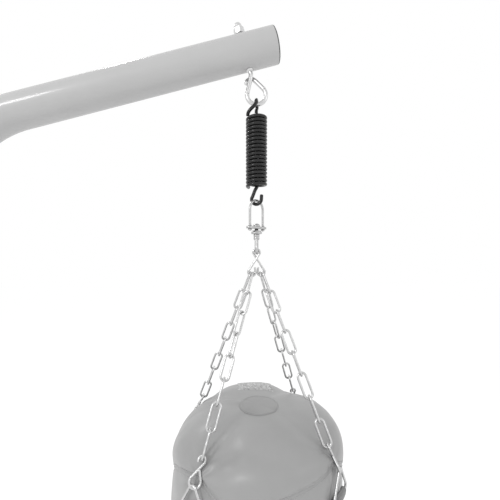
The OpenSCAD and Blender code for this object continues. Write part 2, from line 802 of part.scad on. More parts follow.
rear_cross_tube();
left_side_rail();
right_side_rail();
corner_plates();
corner_bolts();
tube_end_caps();
rubber_feet();
mast_foot();
mast_foot_bolts();
lower_mast();
mast_sleeve();
sleeve_bolts();
boom_tube();
boom_end_plug();
brace_collar();
left_brace();
right_brace();
brace_brackets();
brace_bolts();
left_plate_peg();
right_plate_peg();
eye_bolt();
eye_bolt_washer();
eye_bolt_nut();
spring_upper_hook();
spring_coil();
spring_lower_hook();
swivel_bow();
swivel_bar();
swivel_stud();
swivel_collar();
swivel_eye();
right_top_s_hook();
left_top_s_hook();
front_right_chain();
back_right_chain();
back_left_chain();
front_left_chain();
front_right_s_hook();
back_right_s_hook();
back_left_s_hook();
front_left_s_hook();
front_right_ring();
back_right_ring();
back_left_ring();
front_left_ring();
front_right_strap();
back_right_strap();
back_left_strap();
front_left_strap();
bag_filling();
bag_side_wall();
bag_top_panel();
bag_bottom_panel();
bag_top_patch();
bag_label_patch();
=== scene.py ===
"""Punching bag on a free-standing stand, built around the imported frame."""
import math
import bmesh
import bpy
import numpy as np
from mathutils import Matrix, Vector, noise


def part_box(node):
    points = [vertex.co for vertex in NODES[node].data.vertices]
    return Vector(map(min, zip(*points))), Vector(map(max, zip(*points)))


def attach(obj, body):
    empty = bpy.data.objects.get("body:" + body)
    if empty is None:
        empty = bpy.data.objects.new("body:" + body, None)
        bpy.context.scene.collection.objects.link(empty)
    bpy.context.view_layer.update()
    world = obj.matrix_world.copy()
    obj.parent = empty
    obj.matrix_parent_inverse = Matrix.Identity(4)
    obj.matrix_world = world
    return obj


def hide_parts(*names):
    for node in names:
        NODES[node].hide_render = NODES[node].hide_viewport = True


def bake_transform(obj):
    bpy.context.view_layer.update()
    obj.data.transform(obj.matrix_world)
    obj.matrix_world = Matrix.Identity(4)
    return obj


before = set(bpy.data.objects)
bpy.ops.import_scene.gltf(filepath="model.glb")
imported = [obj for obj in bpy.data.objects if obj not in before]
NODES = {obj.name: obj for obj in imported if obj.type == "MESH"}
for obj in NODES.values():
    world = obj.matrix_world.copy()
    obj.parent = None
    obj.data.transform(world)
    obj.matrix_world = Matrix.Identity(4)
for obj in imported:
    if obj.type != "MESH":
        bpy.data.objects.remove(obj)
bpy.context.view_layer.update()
MM = 0.001


def lowest(node):
    return np.array(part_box(node)[0])


def highest(node):
    return np.array(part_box(node)[1])


def middle(node):
    return (lowest(node) + highest(node)) / 2


# ---------- measures taken from the frame ----------

BAG_R = highest("bag_side_wall")[0]
SEAM_Z = highest("bag_side_wall")[2]
BAG_FOOT_Z = lowest("bag_side_wall")[2]
CROWN_Z = highest("bag_top_panel")[2]
BASE_Z = lowest("bag_bottom_panel")[2]
PIVOT_Z = SEAM_Z + 348 * MM            # where the four chain lines meet
MAST_X = middle("lower_mast")[0]
BOOM_Z = 2050 * MM
SLOPE = 15.4
TUBE_R = (highest("lower_mast")[1] - lowest("lower_mast")[1]) / 2
CHAINS = ("front_right", "back_right", "back_left", "front_left")
CHAIN_TURN = dict(zip(CHAINS, (-38.0, 52.0, 142.0, 232.0)))


# ---------- camera, lights and stage ----------

def camera():
    turn, back, aside, rise = math.radians(1.5), 0.563, 0.012, 0.015
    forward = Vector((math.sin(turn), math.cos(turn), 0))
    right = Vector((math.cos(turn), -math.sin(turn), 0))
    data = bpy.data.cameras.new("camera")
    data.sensor_width = 36
    data.lens = 36 * 305 / 500
    data.clip_start = 0.01
    data.clip_end = 60
    cam = bpy.data.objects.new("camera", data)
    cam.location = Vector((0, 0, PIVOT_Z + rise)) - back * forward - aside * right
    cam.rotation_euler = (math.pi / 2, 0, -turn)
    bpy.context.scene.collection.objects.link(cam)
    bpy.context.scene.camera = cam


def area_light(name, place, target, size, power):
    data = bpy.data.lights.new(name, "AREA")
    data.shape = "DISK"
    data.size = size
    data.energy = power
    lamp = bpy.data.objects.new(name, data)
    lamp.location = place
    lamp.rotation_euler = (Vector(target) - Vector(place)).to_track_quat("-Z", "Y").to_euler()
    bpy.context.scene.collection.objects.link(lamp)


def studio():
    scene = bpy.context.scene
    scene.view_settings.view_transform = "Standard"
    scene.view_settings.look = "None"
    world = bpy.data.worlds.new("studio")
    world.use_nodes = True
    world.node_tree.nodes["Background"].inputs["Color"].default_value = (1, 1, 1, 1)
    world.node_tree.nodes["Background"].inputs["Strength"].default_value = 1.0
    scene.world = world
    area_light("key", (-1.9, -2.1, 2.9), (0, 0, 1.4), 0.6, 24)
    area_light("fill", (2.4, -1.2, 2.4), (0, 0, 1.4), 1.4, 6)
    area_light("streak", (-1.25, 1.6, 3.9), (-0.3, 0, 2.0), 0.3, 12)
    mesh = bpy.data.meshes.new("floor")
    side = 14
    mesh.from_pydata([(-side, -side, 0), (side, -side, 0), (side, side, 0), (-side, side, 0)],
                     [], [(0, 1, 2, 3)])
    floor = bpy.data.objects.new("floor", mesh)
    scene.collection.objects.link(floor)
    mat = bpy.data.materials.new("floor_paint")
    mat.use_nodes = True
    shader = mat.node_tree.nodes["Principled BSDF"]
    shader.inputs["Base Color"].default_value = (1, 1, 1, 1)
    shader.inputs["Roughness"].default_value = 1.0
    shader.inputs["Specular IOR Level"].default_value = 0.0
    floor.data.materials.append(mat)


# ---------- materials ----------

class Nodes:
    """Short names for building a material's node tree in object coordinates."""

    def __init__(self, name, **sockets):
        self.mat = bpy.data.materials.new(name)
        self.mat.use_nodes = True
        self.tree = self.mat.node_tree
        self.shader = self.tree.nodes["Principled BSDF"]
        for key, value in sockets.items():
            self.shader.inputs[key.replace("_", " ")].default_value = value
        self.coords = self.add("ShaderNodeTexCoord").outputs["Object"]

    def add(self, kind, **settings):
        node = self.tree.nodes.new(kind)
        for key, value in settings.items():
            if key in node.inputs:
                node.inputs[key].default_value = value
            else:
                setattr(node, key, value)
        return node

    def link(self, out, to):
        self.tree.links.new(out, to)

    def noise(self, scale, detail=4.0, rough=0.55):
        node = self.add("ShaderNodeTexNoise", Scale=scale, Detail=detail, Roughness=rough)
        self.link(self.coords, node.inputs["Vector"])
        return node.outputs["Fac"]

    def cells(self, scale, feature="F1"):
        node = self.add("ShaderNodeTexVoronoi", Scale=scale, feature=feature)
        self.link(self.coords, node.inputs["Vector"])
        return node.outputs["Distance"]

    def wave(self, scale, direction):
        node = self.add("ShaderNodeTexWave", Scale=scale)
        node.bands_direction = direction
        self.link(self.coords, node.inputs["Vector"])
        return node.outputs["Fac"]

    def maths(self, operation, a, b):
        node = self.add("ShaderNodeMath", operation=operation)
        for socket, value in zip(node.inputs, (a, b)):
            if isinstance(value, (int, float)):
                socket.default_value = value
            else:
                self.link(value, socket)
        return node.outputs["Value"]

    def ramp(self, fac, *stops):
        """stops are (position, grey or colour)."""
        node = self.add("ShaderNodeValToRGB")
        elements = node.color_ramp.elements
        while len(elements) < len(stops):
            elements.new(0.5)
        for element, (position, colour) in zip(elements, stops):
            element.position = position
            rgb = (colour,) * 3 if isinstance(colour, (int, float)) else colour
            element.color = (*rgb, 1)
        self.link(fac, node.inputs["Fac"])
        return node.outputs["Color"]

    def colour(self, fac, low, high):
        """Base colour between two greys or colours as fac goes through its middle range."""
        self.link(self.ramp(fac, (0.3, low), (0.7, high)), self.shader.inputs["Base Color"])

    def rough(self, fac, low, high):
        self.link(self.ramp(fac, (0.3, low), (0.7, high)), self.shader.inputs["Roughness"])

    def bump(self, *heights):
        """Bumps in turn: (height output, strength, depth in metres)."""
        normal = None
        for height, strength, depth in heights:
            node = self.add("ShaderNodeBump", Strength=strength, Distance=depth)
            self.link(height, node.inputs["Height"])
            if normal:
                self.link(normal, node.inputs["Normal"])
            normal = node.outputs["Normal"]
        self.link(normal, self.shader.inputs["Normal"])


def powder_coat(name, grey):
    m = Nodes(name, Specular_IOR_Level=0.3, Coat_Weight=0.35, Coat_Roughness=0.12)
    m.colour(m.noise(9, 6), grey * 0.965, grey * 1.03)
    m.rough(m.noise(60, 3), 0.4, 0.5)
    m.bump((m.noise(900, 2), 0.25, 0.0002), (m.noise(220, 3), 0.12, 0.0003))
    return m.mat


def plated(name, grey, rough_low, rough_high, metal=1.0):
    m = Nodes(name, Metallic=metal)
    m.colour(m.noise(160, 5, 0.6), grey * 0.86, min(1.0, grey * 1.06))
    m.rough(m.noise(420, 4), rough_low, rough_high)
    m.bump((m.noise(700, 4), 0.2, 0.0002), (m.noise(90, 2), 0.15, 0.0004))
    return m.mat


def black_enamel(name):
    m = Nodes(name, Specular_IOR_Level=0.35, Coat_Weight=0.12, Coat_Roughness=0.05)
    m.colour(m.noise(130, 5), 0.003, 0.009)
    m.rough(m.noise(300, 3), 0.2, 0.34)
    m.bump((m.noise(800, 3), 0.3, 0.0002),)
    return m.mat


def vinyl(name, grey):
    m = Nodes(name, Specular_IOR_Level=0.35, Coat_Weight=0.25, Coat_Roughness=0.3)
    m.colour(m.noise(7, 6), grey * 0.95, grey * 1.04)
    m.rough(m.noise(35, 4), 0.4, 0.5)
    creases = m.cells(520, "DISTANCE_TO_EDGE")
    grain = m.maths("MINIMUM", m.maths("MULTIPLY", creases, 5.0), 1.0)
    m.bump((grain, 0.22, 0.00025), (m.noise(1400, 3), 0.2, 0.0001), (m.noise(26, 4), 0.25, 0.001))
    return m.mat


def moulded(name, grey, rough=0.55):
    m = Nodes(name, Specular_IOR_Level=0.4)
    m.colour(m.noise(30, 4), grey * 0.9, grey * 1.1)
    m.rough(m.noise(200, 3), rough - 0.06, rough + 0.06)
    m.bump((m.noise(1500, 2), 0.3, 0.0001),)
    return m.mat


def webbing(name, grey):
    m = Nodes(name, Specular_IOR_Level=0.2, Sheen_Weight=0.2)
    ribs = m.wave(520, "Z")
    picks = m.wave(360, "DIAGONAL")
    weave = m.maths("MULTIPLY", ribs, picks)
    m.colour(weave, grey * 0.7, grey * 1.15)
    m.rough(m.noise(300, 3), 0.75, 0.9)
    m.bump((weave, 0.7, 0.0004), (m.noise(2500, 2), 0.3, 0.0001))
    return m.mat


def thread(name, grey):
    m = Nodes(name, Specular_IOR_Level=0.3)
    m.colour(m.noise(2200, 2), grey * 0.85, grey * 1.1)
    m.rough(m.noise(900, 2), 0.55, 0.7)
    m.bump((m.wave(2600, "DIAGONAL"), 0.5, 0.0001),)
    return m.mat


MATERIAL = {
    "frame_paint": powder_coat("frame_paint", 0.422),
    "bolt_zinc": plated("bolt_zinc", 0.62, 0.3, 0.45),
    "peg_steel": plated("peg_steel", 0.66, 0.22, 0.36),
    "cap_plastic": moulded("cap_plastic", 0.06),
    "foot_rubber": moulded("foot_rubber", 0.03, 0.8),
    "zinc_plate": plated("zinc_plate", 0.66, 0.25, 0.4),
    "spring_black": black_enamel("spring_black"),
    "swivel_nickel": plated("swivel_nickel", 0.5, 0.3, 0.45),
    "chain_zinc": plated("chain_zinc", 0.6, 0.22, 0.38),
    "strap_webbing": webbing("strap_webbing", 0.3),
    "filling": webbing("filling", 0.35),
    "bag_vinyl": vinyl("bag_vinyl", 0.296),
    "patch_vinyl": vinyl("patch_vinyl", 0.262),
    "thread": thread("thread", 0.42),
}


def paint(piece, slot_name, material=None):
    piece.data.materials.clear()
    piece.data.materials.append(MATERIAL[material or slot_name])


# ---------- mesh helpers ----------

def mm(*points):
    """Points given in millimetres, as metres."""
    return [tuple(MM * value for value in point) for point in points]


def around(count):
    """Angles once round a circle, the last one short of the first."""
    return np.linspace(0, 2 * math.pi, count, endpoint=False)


def grid_piece(name, rings, close_u=True, close_v=False, caps=False, smooth=True):
    """A mesh from rings of points, each ring closed round u; v runs from ring to ring."""
    rings = np.asarray(rings, float)
    rows, cols = rings.shape[:2]
    verts = rings.reshape(-1, 3)
    faces = []
    for i in range(rows if close_v else rows - 1):
        for j in range(cols if close_u else cols - 1):
            a, b = i * cols + j, i * cols + (j + 1) % cols
            c, d = ((i + 1) % rows) * cols + (j + 1) % cols, ((i + 1) % rows) * cols + j
            faces.append((a, b, c, d))
    if caps:
        faces.append(tuple(range(cols - 1, -1, -1)))
        faces.append(tuple((rows - 1) * cols + j for j in range(cols)))
    return mesh_piece(name, verts, faces, smooth)


def mesh_piece(name, verts, faces, smooth=True):
    mesh = bpy.data.meshes.new(name)
    mesh.from_pydata([tuple(v) for v in verts], [], faces)
    mesh.update()
    if smooth:
        mesh.polygons.foreach_set("use_smooth", [True] * len(mesh.polygons))
    piece = bpy.data.objects.new(name, mesh)
    bpy.context.scene.collection.objects.link(piece)
    return piece


def join(name, pieces):
    """One mesh object from several."""
    verts, faces, smooth = [], [], []
    for piece in pieces:
        base = len(verts)
        verts += [tuple(v.co) for v in piece.data.vertices]
        for p in piece.data.polygons:
            faces.append(tuple(base + i for i in p.vertices))
            smooth.append(p.use_smooth)
        mesh = piece.data
        bpy.data.objects.remove(piece)
        bpy.data.meshes.remove(mesh)
    whole = mesh_piece(name, verts, faces, False)
    whole.data.polygons.foreach_set("use_smooth", smooth)
    return whole


def smooth_path(points, step, closed=False):
    """A rounded path through points by a Catmull-Rom curve, resampled about every step."""
    points = np.asarray(points, float)
    n = len(points)
    out = []
    for i in range(n if closed else n - 1):
        if closed:
            p = [points[(i + k) % n] for k in (-1, 0, 1, 2)]
        else:
            p = [points[max(i - 1, 0)], points[i], points[i + 1], points[min(i + 2, n - 1)]]
        count = max(2, int(np.linalg.norm(p[2] - p[1]) / step) + 1)
        for t in np.arange(count) / count:
            out.append(0.5 * (2 * p[1] + (p[2] - p[0]) * t
                              + (2 * p[0] - 5 * p[1] + 4 * p[2] - p[3]) * t * t
                              + (3 * p[1] - p[0] - 3 * p[2] + p[3]) * t ** 3))
    if not closed:
        out.append(points[-1])
    return np.array(out)


def frames(path, closed=False):
    """Tangents and two normals carried along a path without twist."""
    if closed:
        tangent = np.roll(path, -1, 0) - np.roll(path, 1, 0)
    else:
        tangent = np.gradient(path, axis=0)
    tangent /= np.linalg.norm(tangent, axis=1)[:, None]
    start = np.array([0, 0, 1.0]) if abs(tangent[0][2]) < 0.8 else np.array([1.0, 0, 0])
    normal = [np.cross(tangent[0], start)]
    normal[0] /= np.linalg.norm(normal[0])
    for t in tangent[1:]:
        v = normal[-1] - np.dot(normal[-1], t) * t
        normal.append(v / np.linalg.norm(v))
    normal = np.array(normal)
    if closed:
        # spread what the frame turns over one lap, so that the last ring meets the first
        t, a, b = tangent[0], normal[-1], normal[0]
        a = a - np.dot(a, t) * t
        gap = math.atan2(np.dot(np.cross(a, b), t), np.dot(a, b))
        for i, (n, t) in enumerate(zip(normal, tangent)):
            w = gap * i / len(path)
            normal[i] = n * math.cos(w) + np.cross(t, n) * math.sin(w)
    return tangent, normal, np.cross(tangent, normal)


def wire_piece(name, path, radius, closed=False, sides=20, swell=None):
    """A round bar bent along a path; its free ends are rounded off. swell(i) scales the radius."""
    tangent, side, up = frames(path, closed)
    last = len(path) - 1
    circle = [(math.cos(a), math.sin(a)) for a in around(sides)]

    def ring(i, push, scale):
        centre = path[i] + push * tangent[i]
        return [centre + radius * scale * (c * side[i] + s * up[i]) for c, s in circle]

    def dome(i, way, angles):
        return [ring(i, way * 0.55 * radius * math.sin(a), math.cos(a))
                for a in np.radians(angles)]

    rings = [ring(i, 0, swell(i) if swell else 1.0) for i in range(last + 1)]
    if not closed:
        rings = dome(0, -1, (85, 65, 45, 25)) + rings + dome(last, 1, (25, 45, 65, 85))
    return grid_piece(name, rings, close_v=closed, caps=not closed)


def arc(centre, radius, a0, a1, steps):
    """Points along an arc in the X-Z plane."""
    angles = np.radians(np.linspace(a0, a1, steps + 1))
    return [np.array(centre) + radius * np.array([math.cos(a), 0, math.sin(a)]) for a in angles]


def spun(axis, degrees):
    """The matrix of a turn about Y or Z."""
    a = math.radians(degrees)
    c, s = math.cos(a), math.sin(a)
    if axis == "z":
        return np.array([[c, -s, 0], [s, c, 0], [0, 0, 1]])
    return np.array([[c, 0, s], [0, 1, 0], [-s, 0, c]])


def placed(points, matrix, origin=(0, 0, 0)):
    return np.asarray(points, float) @ matrix.T + np.array(origin)


def lathe(name, outline, centre=(0, 0, 0), matrix=np.eye(3), sides=96):
    """A solid turned about Z from (radius, height) points, then placed."""
    turn = around(sides)
    rings = [[(max(r, 1e-5) * math.cos(a), max(r, 1e-5) * math.sin(a), z) for a in turn]
             for r, z in outline]
    return grid_piece(name, [placed(ring, matrix, centre) for ring in rings])


def finish_piece(piece, body, slot_name, nodes=(), material=None):
    """Paints a piece, puts it on its body and hides the CAD nodes it stands for."""
    paint(piece, slot_name, material)
    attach(piece, body)
    if nodes:
        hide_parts(*nodes)
    return piece


# ---------- stand ----------

def bevelled(name, node, slot_name, width, segments=3):
    """A copy of a CAD node with its sharp edges rounded off."""
    piece = bpy.data.objects.new(name, NODES[node].data.copy())
    bpy.context.scene.collection.objects.link(piece)
    mesh = piece.data
    mesh.transform(NODES[node].matrix_world)
    bm = bmesh.new()
    bm.from_mesh(mesh)
    bmesh.ops.remove_doubles(bm, verts=bm.verts, dist=0.01 * MM)
    bmesh.ops.dissolve_limit(bm, angle_limit=math.radians(0.5), verts=bm.verts, edges=bm.edges)
    bm.to_mesh(mesh)
    bm.free()
    bevel = piece.modifiers.new("edge", "BEVEL")
    bevel.width = width
    bevel.segments = segments
    bevel.limit_method = "ANGLE"
    bevel.angle_limit = math.radians(40)
    bevel.use_clamp_overlap = True
    bpy.context.view_layer.objects.active = piece
    piece.select_set(True)
    bpy.ops.object.modifier_apply(modifier=bevel.name)
    bpy.ops.object.shade_smooth_by_angle(angle=math.radians(35))
    piece.select_set(False)
    finish_piece(piece, "stand", slot_name, [node])


def weld(name, centre, path_radius, count, radius=2.6 * MM):
    """A round weld bead with the ripples of its passes."""
    turn = around(count)
    ring = np.stack([path_radius * np.cos(turn), path_radius * np.sin(turn), 0 * turn], 1)
    piece = wire_piece(name, ring + np.array(centre), radius, closed=True, sides=10,
                       swell=lambda i: 1 + 0.16 * math.sin(i * 1.9) + 0.05 * math.sin(i * 0.7))
    finish_piece(piece, "stand", "frame_paint")


def hex_outline(flats, height, top_chamfer=True, low_chamfer=False):
    """Rings of a hexagon head on the X-Y plane with turned chamfers."""
    apothem = flats / 2
    corner = apothem / math.cos(math.pi / 6)
    turn = around(96)
    hexed = apothem / np.cos((turn + math.pi / 6) % (math.pi / 3) - math.pi / 6)

    def ring(r, z):
        return np.stack([r * np.cos(turn), r * np.sin(turn), 0 * turn + z], 1)

    rings = [ring(0, 0)]
    for h in (0, 0.02, 0.05, 0.1, 0.5, 0.88, 0.93, 0.97, 1.0):
        limit = corner * 1.01
        if top_chamfer:
            limit = min(limit, apothem * 0.955 + (1 - h) * height * 1.7)
        if low_chamfer:
            limit = min(limit, apothem * 0.955 + h * height * 1.7)
        rings.append(ring(np.minimum(hexed, limit), h * height))
    return rings + [ring(apothem - 0.16 * flats, height), ring(0, height)]


def hex_piece(name, flats, height, matrix, origin, **chamfers):
    rings = [placed(r, matrix, origin) for r in hex_outline(flats, height, **chamfers)]
    piece = grid_piece(name, rings, smooth=False)
    piece.select_set(True)
    bpy.context.view_layer.objects.active = piece
    bpy.ops.object.shade_smooth_by_angle(angle=math.radians(24))
    piece.select_set(False)
    return piece


def islands(node):
    """The corner pairs of a node's separate solids."""
    bm = bmesh.new()
    bm.from_mesh(NODES[node].data)
    bmesh.ops.remove_doubles(bm, verts=bm.verts, dist=0.01 * MM)
    left, found = dict.fromkeys(bm.verts), []    # a dict keeps one order, run after run
    while left:
        group, stack = [], [left.popitem()[0]]
        while stack:
            v = stack.pop()
            group.append(v)
            for edge in v.link_edges:
                other = edge.other_vert(v)
                if other in left:
                    del left[other]
                    stack.append(other)
        points = np.array([v.co for v in group])
        found.append((points.min(0), points.max(0), points))
    bm.free()
    return found


def bolt_set(name, node):
    """Hexagon bolts with washers, thread and a nut, one on each solid of a bolt node."""
    parts = []
    for lo, hi, points in islands(node):
        centre = (lo + hi) / 2
        cov = np.cov((points - centre).T)
        axis = np.linalg.eigh(cov)[1][:, 2]
        along = (points - centre) @ axis
        # the nut end is the one whose shank sticks out past it
        reach = np.abs((points - centre) - np.outer(along, axis)).max(1)
        top, low = along.max(), along.min()
        width_top = reach[along > top - 1 * MM].max()
        width_low = reach[along < low + 0.5 * MM].max()
        if width_low > width_top:
            axis, top, low = -axis, -low, -top
        side = np.cross(axis, [0.3, 0.9, 0.2])
        side /= np.linalg.norm(side)
        matrix = np.stack([side, np.cross(axis, side), axis], 1)
        flats = 9 * MM * math.sqrt(3)
        head_z, nut_z = top - 6.4 * MM, low + 1 * MM
        tag = f"{name}_{len(parts)}"
        parts.append(hex_piece(tag + "a", flats, 6.4 * MM, matrix, centre + axis * head_z))
        parts.append(hex_piece(tag + "b", flats, 8 * MM, matrix @ spun("z", 17),
                               centre + axis * nut_z, low_chamfer=True))
        for z in (head_z - 1.4 * MM, nut_z + 7.8 * MM):
            washer = [(r, z + up) for r, up in mm(
                (5.2, 0), (9.6, 0), (9.9, 0.3), (9.9, 1.3), (9.6, 1.6), (5.2, 1.6))]
            parts.append(lathe(tag + "w", washer, centre, matrix, 64))
        z = low + 0.8 * MM
        outline = [(0, low), (3.9 * MM, low), (4.8 * MM, z)]
        while z < nut_z + 1 * MM:
            outline += [(4.9 * MM, z + 0.3 * MM), (4.3 * MM, z + 0.75 * MM)]
            z += 0.9 * MM
        outline += [(4.8 * MM, nut_z + 7 * MM), (4.8 * MM, head_z + 1 * MM), (0, head_z + 1 * MM)]
        parts.append(lathe(tag + "s", outline, centre, matrix, 40))
    finish_piece(join(name, parts), "stand", "bolt_zinc", [node])


def boom():
    """The bent tube with broken edges, and the plug in its end."""
    slope = math.radians(SLOPE)
    bend_r = 200 * MM
    direction = np.array([math.cos(slope), 0, math.sin(slope)])
    hang = np.array([0, 0, BOOM_Z])
    start = hang - 445 * MM * direction
    centre = start + bend_r * np.array([math.sin(slope), 0, -math.cos(slope)])
    path = [np.array([MAST_X, 0, z])
            for z in np.linspace(lowest("boom_tube")[2], centre[2], 30)[:-1]]
    path += arc(centre, bend_r, 180, 90 + SLOPE, 60)
    path += [start + direction * d for d in np.linspace(0, 480 * MM, 40)[1:]]
    path = np.array(path)
    tangent = np.gradient(path, axis=0)
    tangent /= np.linalg.norm(tangent, axis=1)[:, None]
    tangent[-1] = direction
    side = np.array([0, 1.0, 0])
    turn = around(128)

    def ring(i, r, push=0.0):
        up = np.cross(tangent[i], side)
        middle_point = path[i] + push * tangent[i]
        return [middle_point + r * (math.cos(a) * side + math.sin(a) * up) for a in turn]

    inner = TUBE_R - 2.5 * MM
    last = len(path) - 1
    rings = [ring(0, inner, 40 * MM), ring(0, inner), ring(0, TUBE_R - 0.4 * MM),
             ring(0, TUBE_R, 0.4 * MM)]
    rings += [ring(i, TUBE_R) for i in range(1, last)]
    rings += [ring(last, TUBE_R - less, push) for less, push in mm(
        (0, -2), (0, -0.9), (0.25, -0.3), (0.8, 0), (2.5, 0), (2.5, -24))]
    finish_piece(grid_piece("boom_tube_bent", rings), "stand", "frame_paint", ["boom_tube"])

    # heights of the plug, against how far each point lies inside the tube's outside radius
    outline = [(0, -22 * MM)] + [(TUBE_R - less, z) for less, z in mm(
        (2.9, -22), (2.7, -0.1), (2.7, 0.05), (0.9, 0.05), (0.5, 0.3), (0.5, 0.9), (0.9, 1.5),
        (2, 2.0), (4, 2.5), (8, 2.6), (9, 2.2), (10, 2.2), (11, 2.7))] + mm((12, 3.1), (0, 3.2))
    plug = lathe("boom_end_plug_domed", outline, hang + 35 * MM * direction,
                 spun("y", 90 - SLOPE), 128)
    finish_piece(plug, "stand", "cap_plastic", ["boom_end_plug"])


def weight_peg(node):
    """A turned peg with a welded flange."""
    centre, base_z = middle(node), lowest(node)[2]
    top = highest(node)[2] - base_z
    outline = mm((0, 0), (23.2, 0), (24, 0.8), (24, 8.8), (23.2, 9.8), (16, 10), (14, 11),
                 (12.5, 13))
    outline += [(r, top - down) for r, down in mm(
        (12.5, 4), (11.9, 2.6), (9.9, 0.6), (8.5, 0), (0, 0))]
    piece = lathe(node + "_turned", outline, (centre[0], centre[1], base_z))
    finish_piece(piece, "stand", "peg_steel", [node])
    weld("weld_" + node, (centre[0], centre[1], base_z + 0.5 * MM), 24.4 * MM, 90, 1.8 * MM)


def feet():
    parts = []
    for n, (lo, hi, _) in enumerate(islands("rubber_feet")):
        middle_point, height = (lo + hi) / 2, hi[2] - lo[2]
        outline = mm((0, 0), (20.5, 0), (22.2, 0.5), (23, 2), (22.6, 5), (21.9, 5.5),
                     (21.9, 6.3), (22.2, 6.8))
        outline += [(21.4 * MM, height - 1 * MM), (20.6 * MM, height), (0, height)]
        parts.append(lathe(f"foot{n}", outline, (middle_point[0], middle_point[1], 0), sides=72))
    finish_piece(join("rubber_feet_moulded", parts), "stand", "foot_rubber", ["rubber_feet"])


def stand():
    boom()
    for node in ("rear_cross_tube", "left_side_rail", "right_side_rail"):
        bevelled(node + "_edged", node, "frame_paint", 2.2 * MM, 4)
    for node in ("corner_plates", "mast_foot", "mast_sleeve", "brace_collar", "brace_brackets"):
        bevelled(node + "_edged", node, "frame_paint", 0.7 * MM)
    for node in ("lower_mast", "left_brace", "right_brace"):
        bevelled(node + "_edged", node, "frame_paint", 0.5 * MM)
    bevelled("tube_end_caps_moulded", "tube_end_caps", "cap_plastic", 1.4 * MM)
    for node in ("corner_bolts", "mast_foot_bolts", "sleeve_bolts", "brace_bolts"):
        bolt_set(node + "_set", node)
    for node in ("left_plate_peg", "right_plate_peg"):
        weight_peg(node)
    feet()
    weld("weld_mast_foot", (MAST_X, 0, lowest("lower_mast")[2] + 0.6 * MM),
         TUBE_R + 4.6 * MM, 130)


# ---------- eye bolt ----------

EYE_Z = 1966.8 * MM
EYE_TO_BOOM = (BOOM_Z - EYE_Z) * math.cos(math.radians(SLOPE))
ON_BOLT = spun("y", -SLOPE)


def on_bolt(points):
    return placed(points, ON_BOLT, (0, 0, EYE_Z))


def eye_bolt():
    """The bent eye, its shank threaded up to the nut."""
    neck, r = 34 * MM, 17.3 * MM
    top = EYE_TO_BOOM + TUBE_R + 13 * MM
    spread = math.degrees(math.acos(r / neck))
    bend = [[0, 0, neck + 14 * MM], [0, 0, neck + 8 * MM], [-1 * MM, 0, neck + 2 * MM]]
    bend += arc((0, 0, 0), r, 90 + spread, 450 - spread, 26)
    bend += [(x, y, neck + z) for x, y, z in mm(
        (6, 4.5, -7), (1, 8.4, 1), (-5, 8.2, 1), (-10, 5, -3), (-12, 1, -8))]
    shank = [[0, 0, z] for z in np.arange(top, neck + 14 * MM, -0.3 * MM)]
    path = on_bolt(shank + list(smooth_path(bend, 1.0 * MM)))
    threaded = len(shank) - 12

    def swell(i):
        return 0.965 + 0.035 * math.cos(2 * math.pi * i * 0.3 / 1.25) if i < threaded else 1.0

    piece = wire_piece("eye_bolt_bent", path, 4 * MM, swell=swell, sides=28)
    finish_piece(piece, "stand", "zinc_plate", ["eye_bolt"])


def eye_bolt_fittings():
    """A saddle washer that follows the top of the tube, the shoulder under it and the cap nut."""
    turn = around(96)

    def saddle(r, lift):
        x, y = r * np.cos(turn), r * np.sin(turn)
        return on_bolt(np.stack([x, y, EYE_TO_BOOM + np.sqrt(TUBE_R ** 2 - y ** 2) + lift], 1))

    rings = [saddle(r, lift) for r, lift in mm(
        (4.3, 0.05), (10.7, 0.05), (11, 0.4), (11, 1.5), (10.6, 1.9), (7, 2.0), (4.3, 2.0),
        (4.3, 0.05))]
    finish_piece(grid_piece("eye_bolt_saddle", rings), "stand", "zinc_plate",
                 ["eye_bolt_washer"])
    low = EYE_TO_BOOM - TUBE_R
    shoulder = [(r, low + z) for r, z in mm(
        (0, -4.4), (4.2, -4.3), (4.6, -4.0), (6.1, -0.7), (6.3, -0.4), (6.1, -0.1), (0, 0))]
    finish_piece(lathe("eye_bolt_shoulder", shoulder, (0, 0, EYE_Z), ON_BOLT), "stand",
                 "zinc_plate", ["eye_bolt"])
    origin = on_bolt([[0, 0, EYE_TO_BOOM + TUBE_R + 3 * MM]])[0]
    hexed = hex_piece("nut_hex", 17 * MM, 12 * MM, ON_BOLT @ spun("z", 12), origin,
                      low_chamfer=True)
    dome = mm((7.9, 11.6), (7.9, 12.4), (7.5, 13.0), (7.4, 15))
    dome += mm(*((7.4 * math.cos(a), 15 + 7.4 * math.sin(a))
                 for a in np.radians(range(8, 90, 7))), (0, 22.4))
    cap = lathe("nut_dome", dome, origin, ON_BOLT, 72)
    finish_piece(join("eye_bolt_cap_nut", [hexed, cap]), "stand", "zinc_plate", ["eye_bolt_nut"])


# ---------- spring ----------

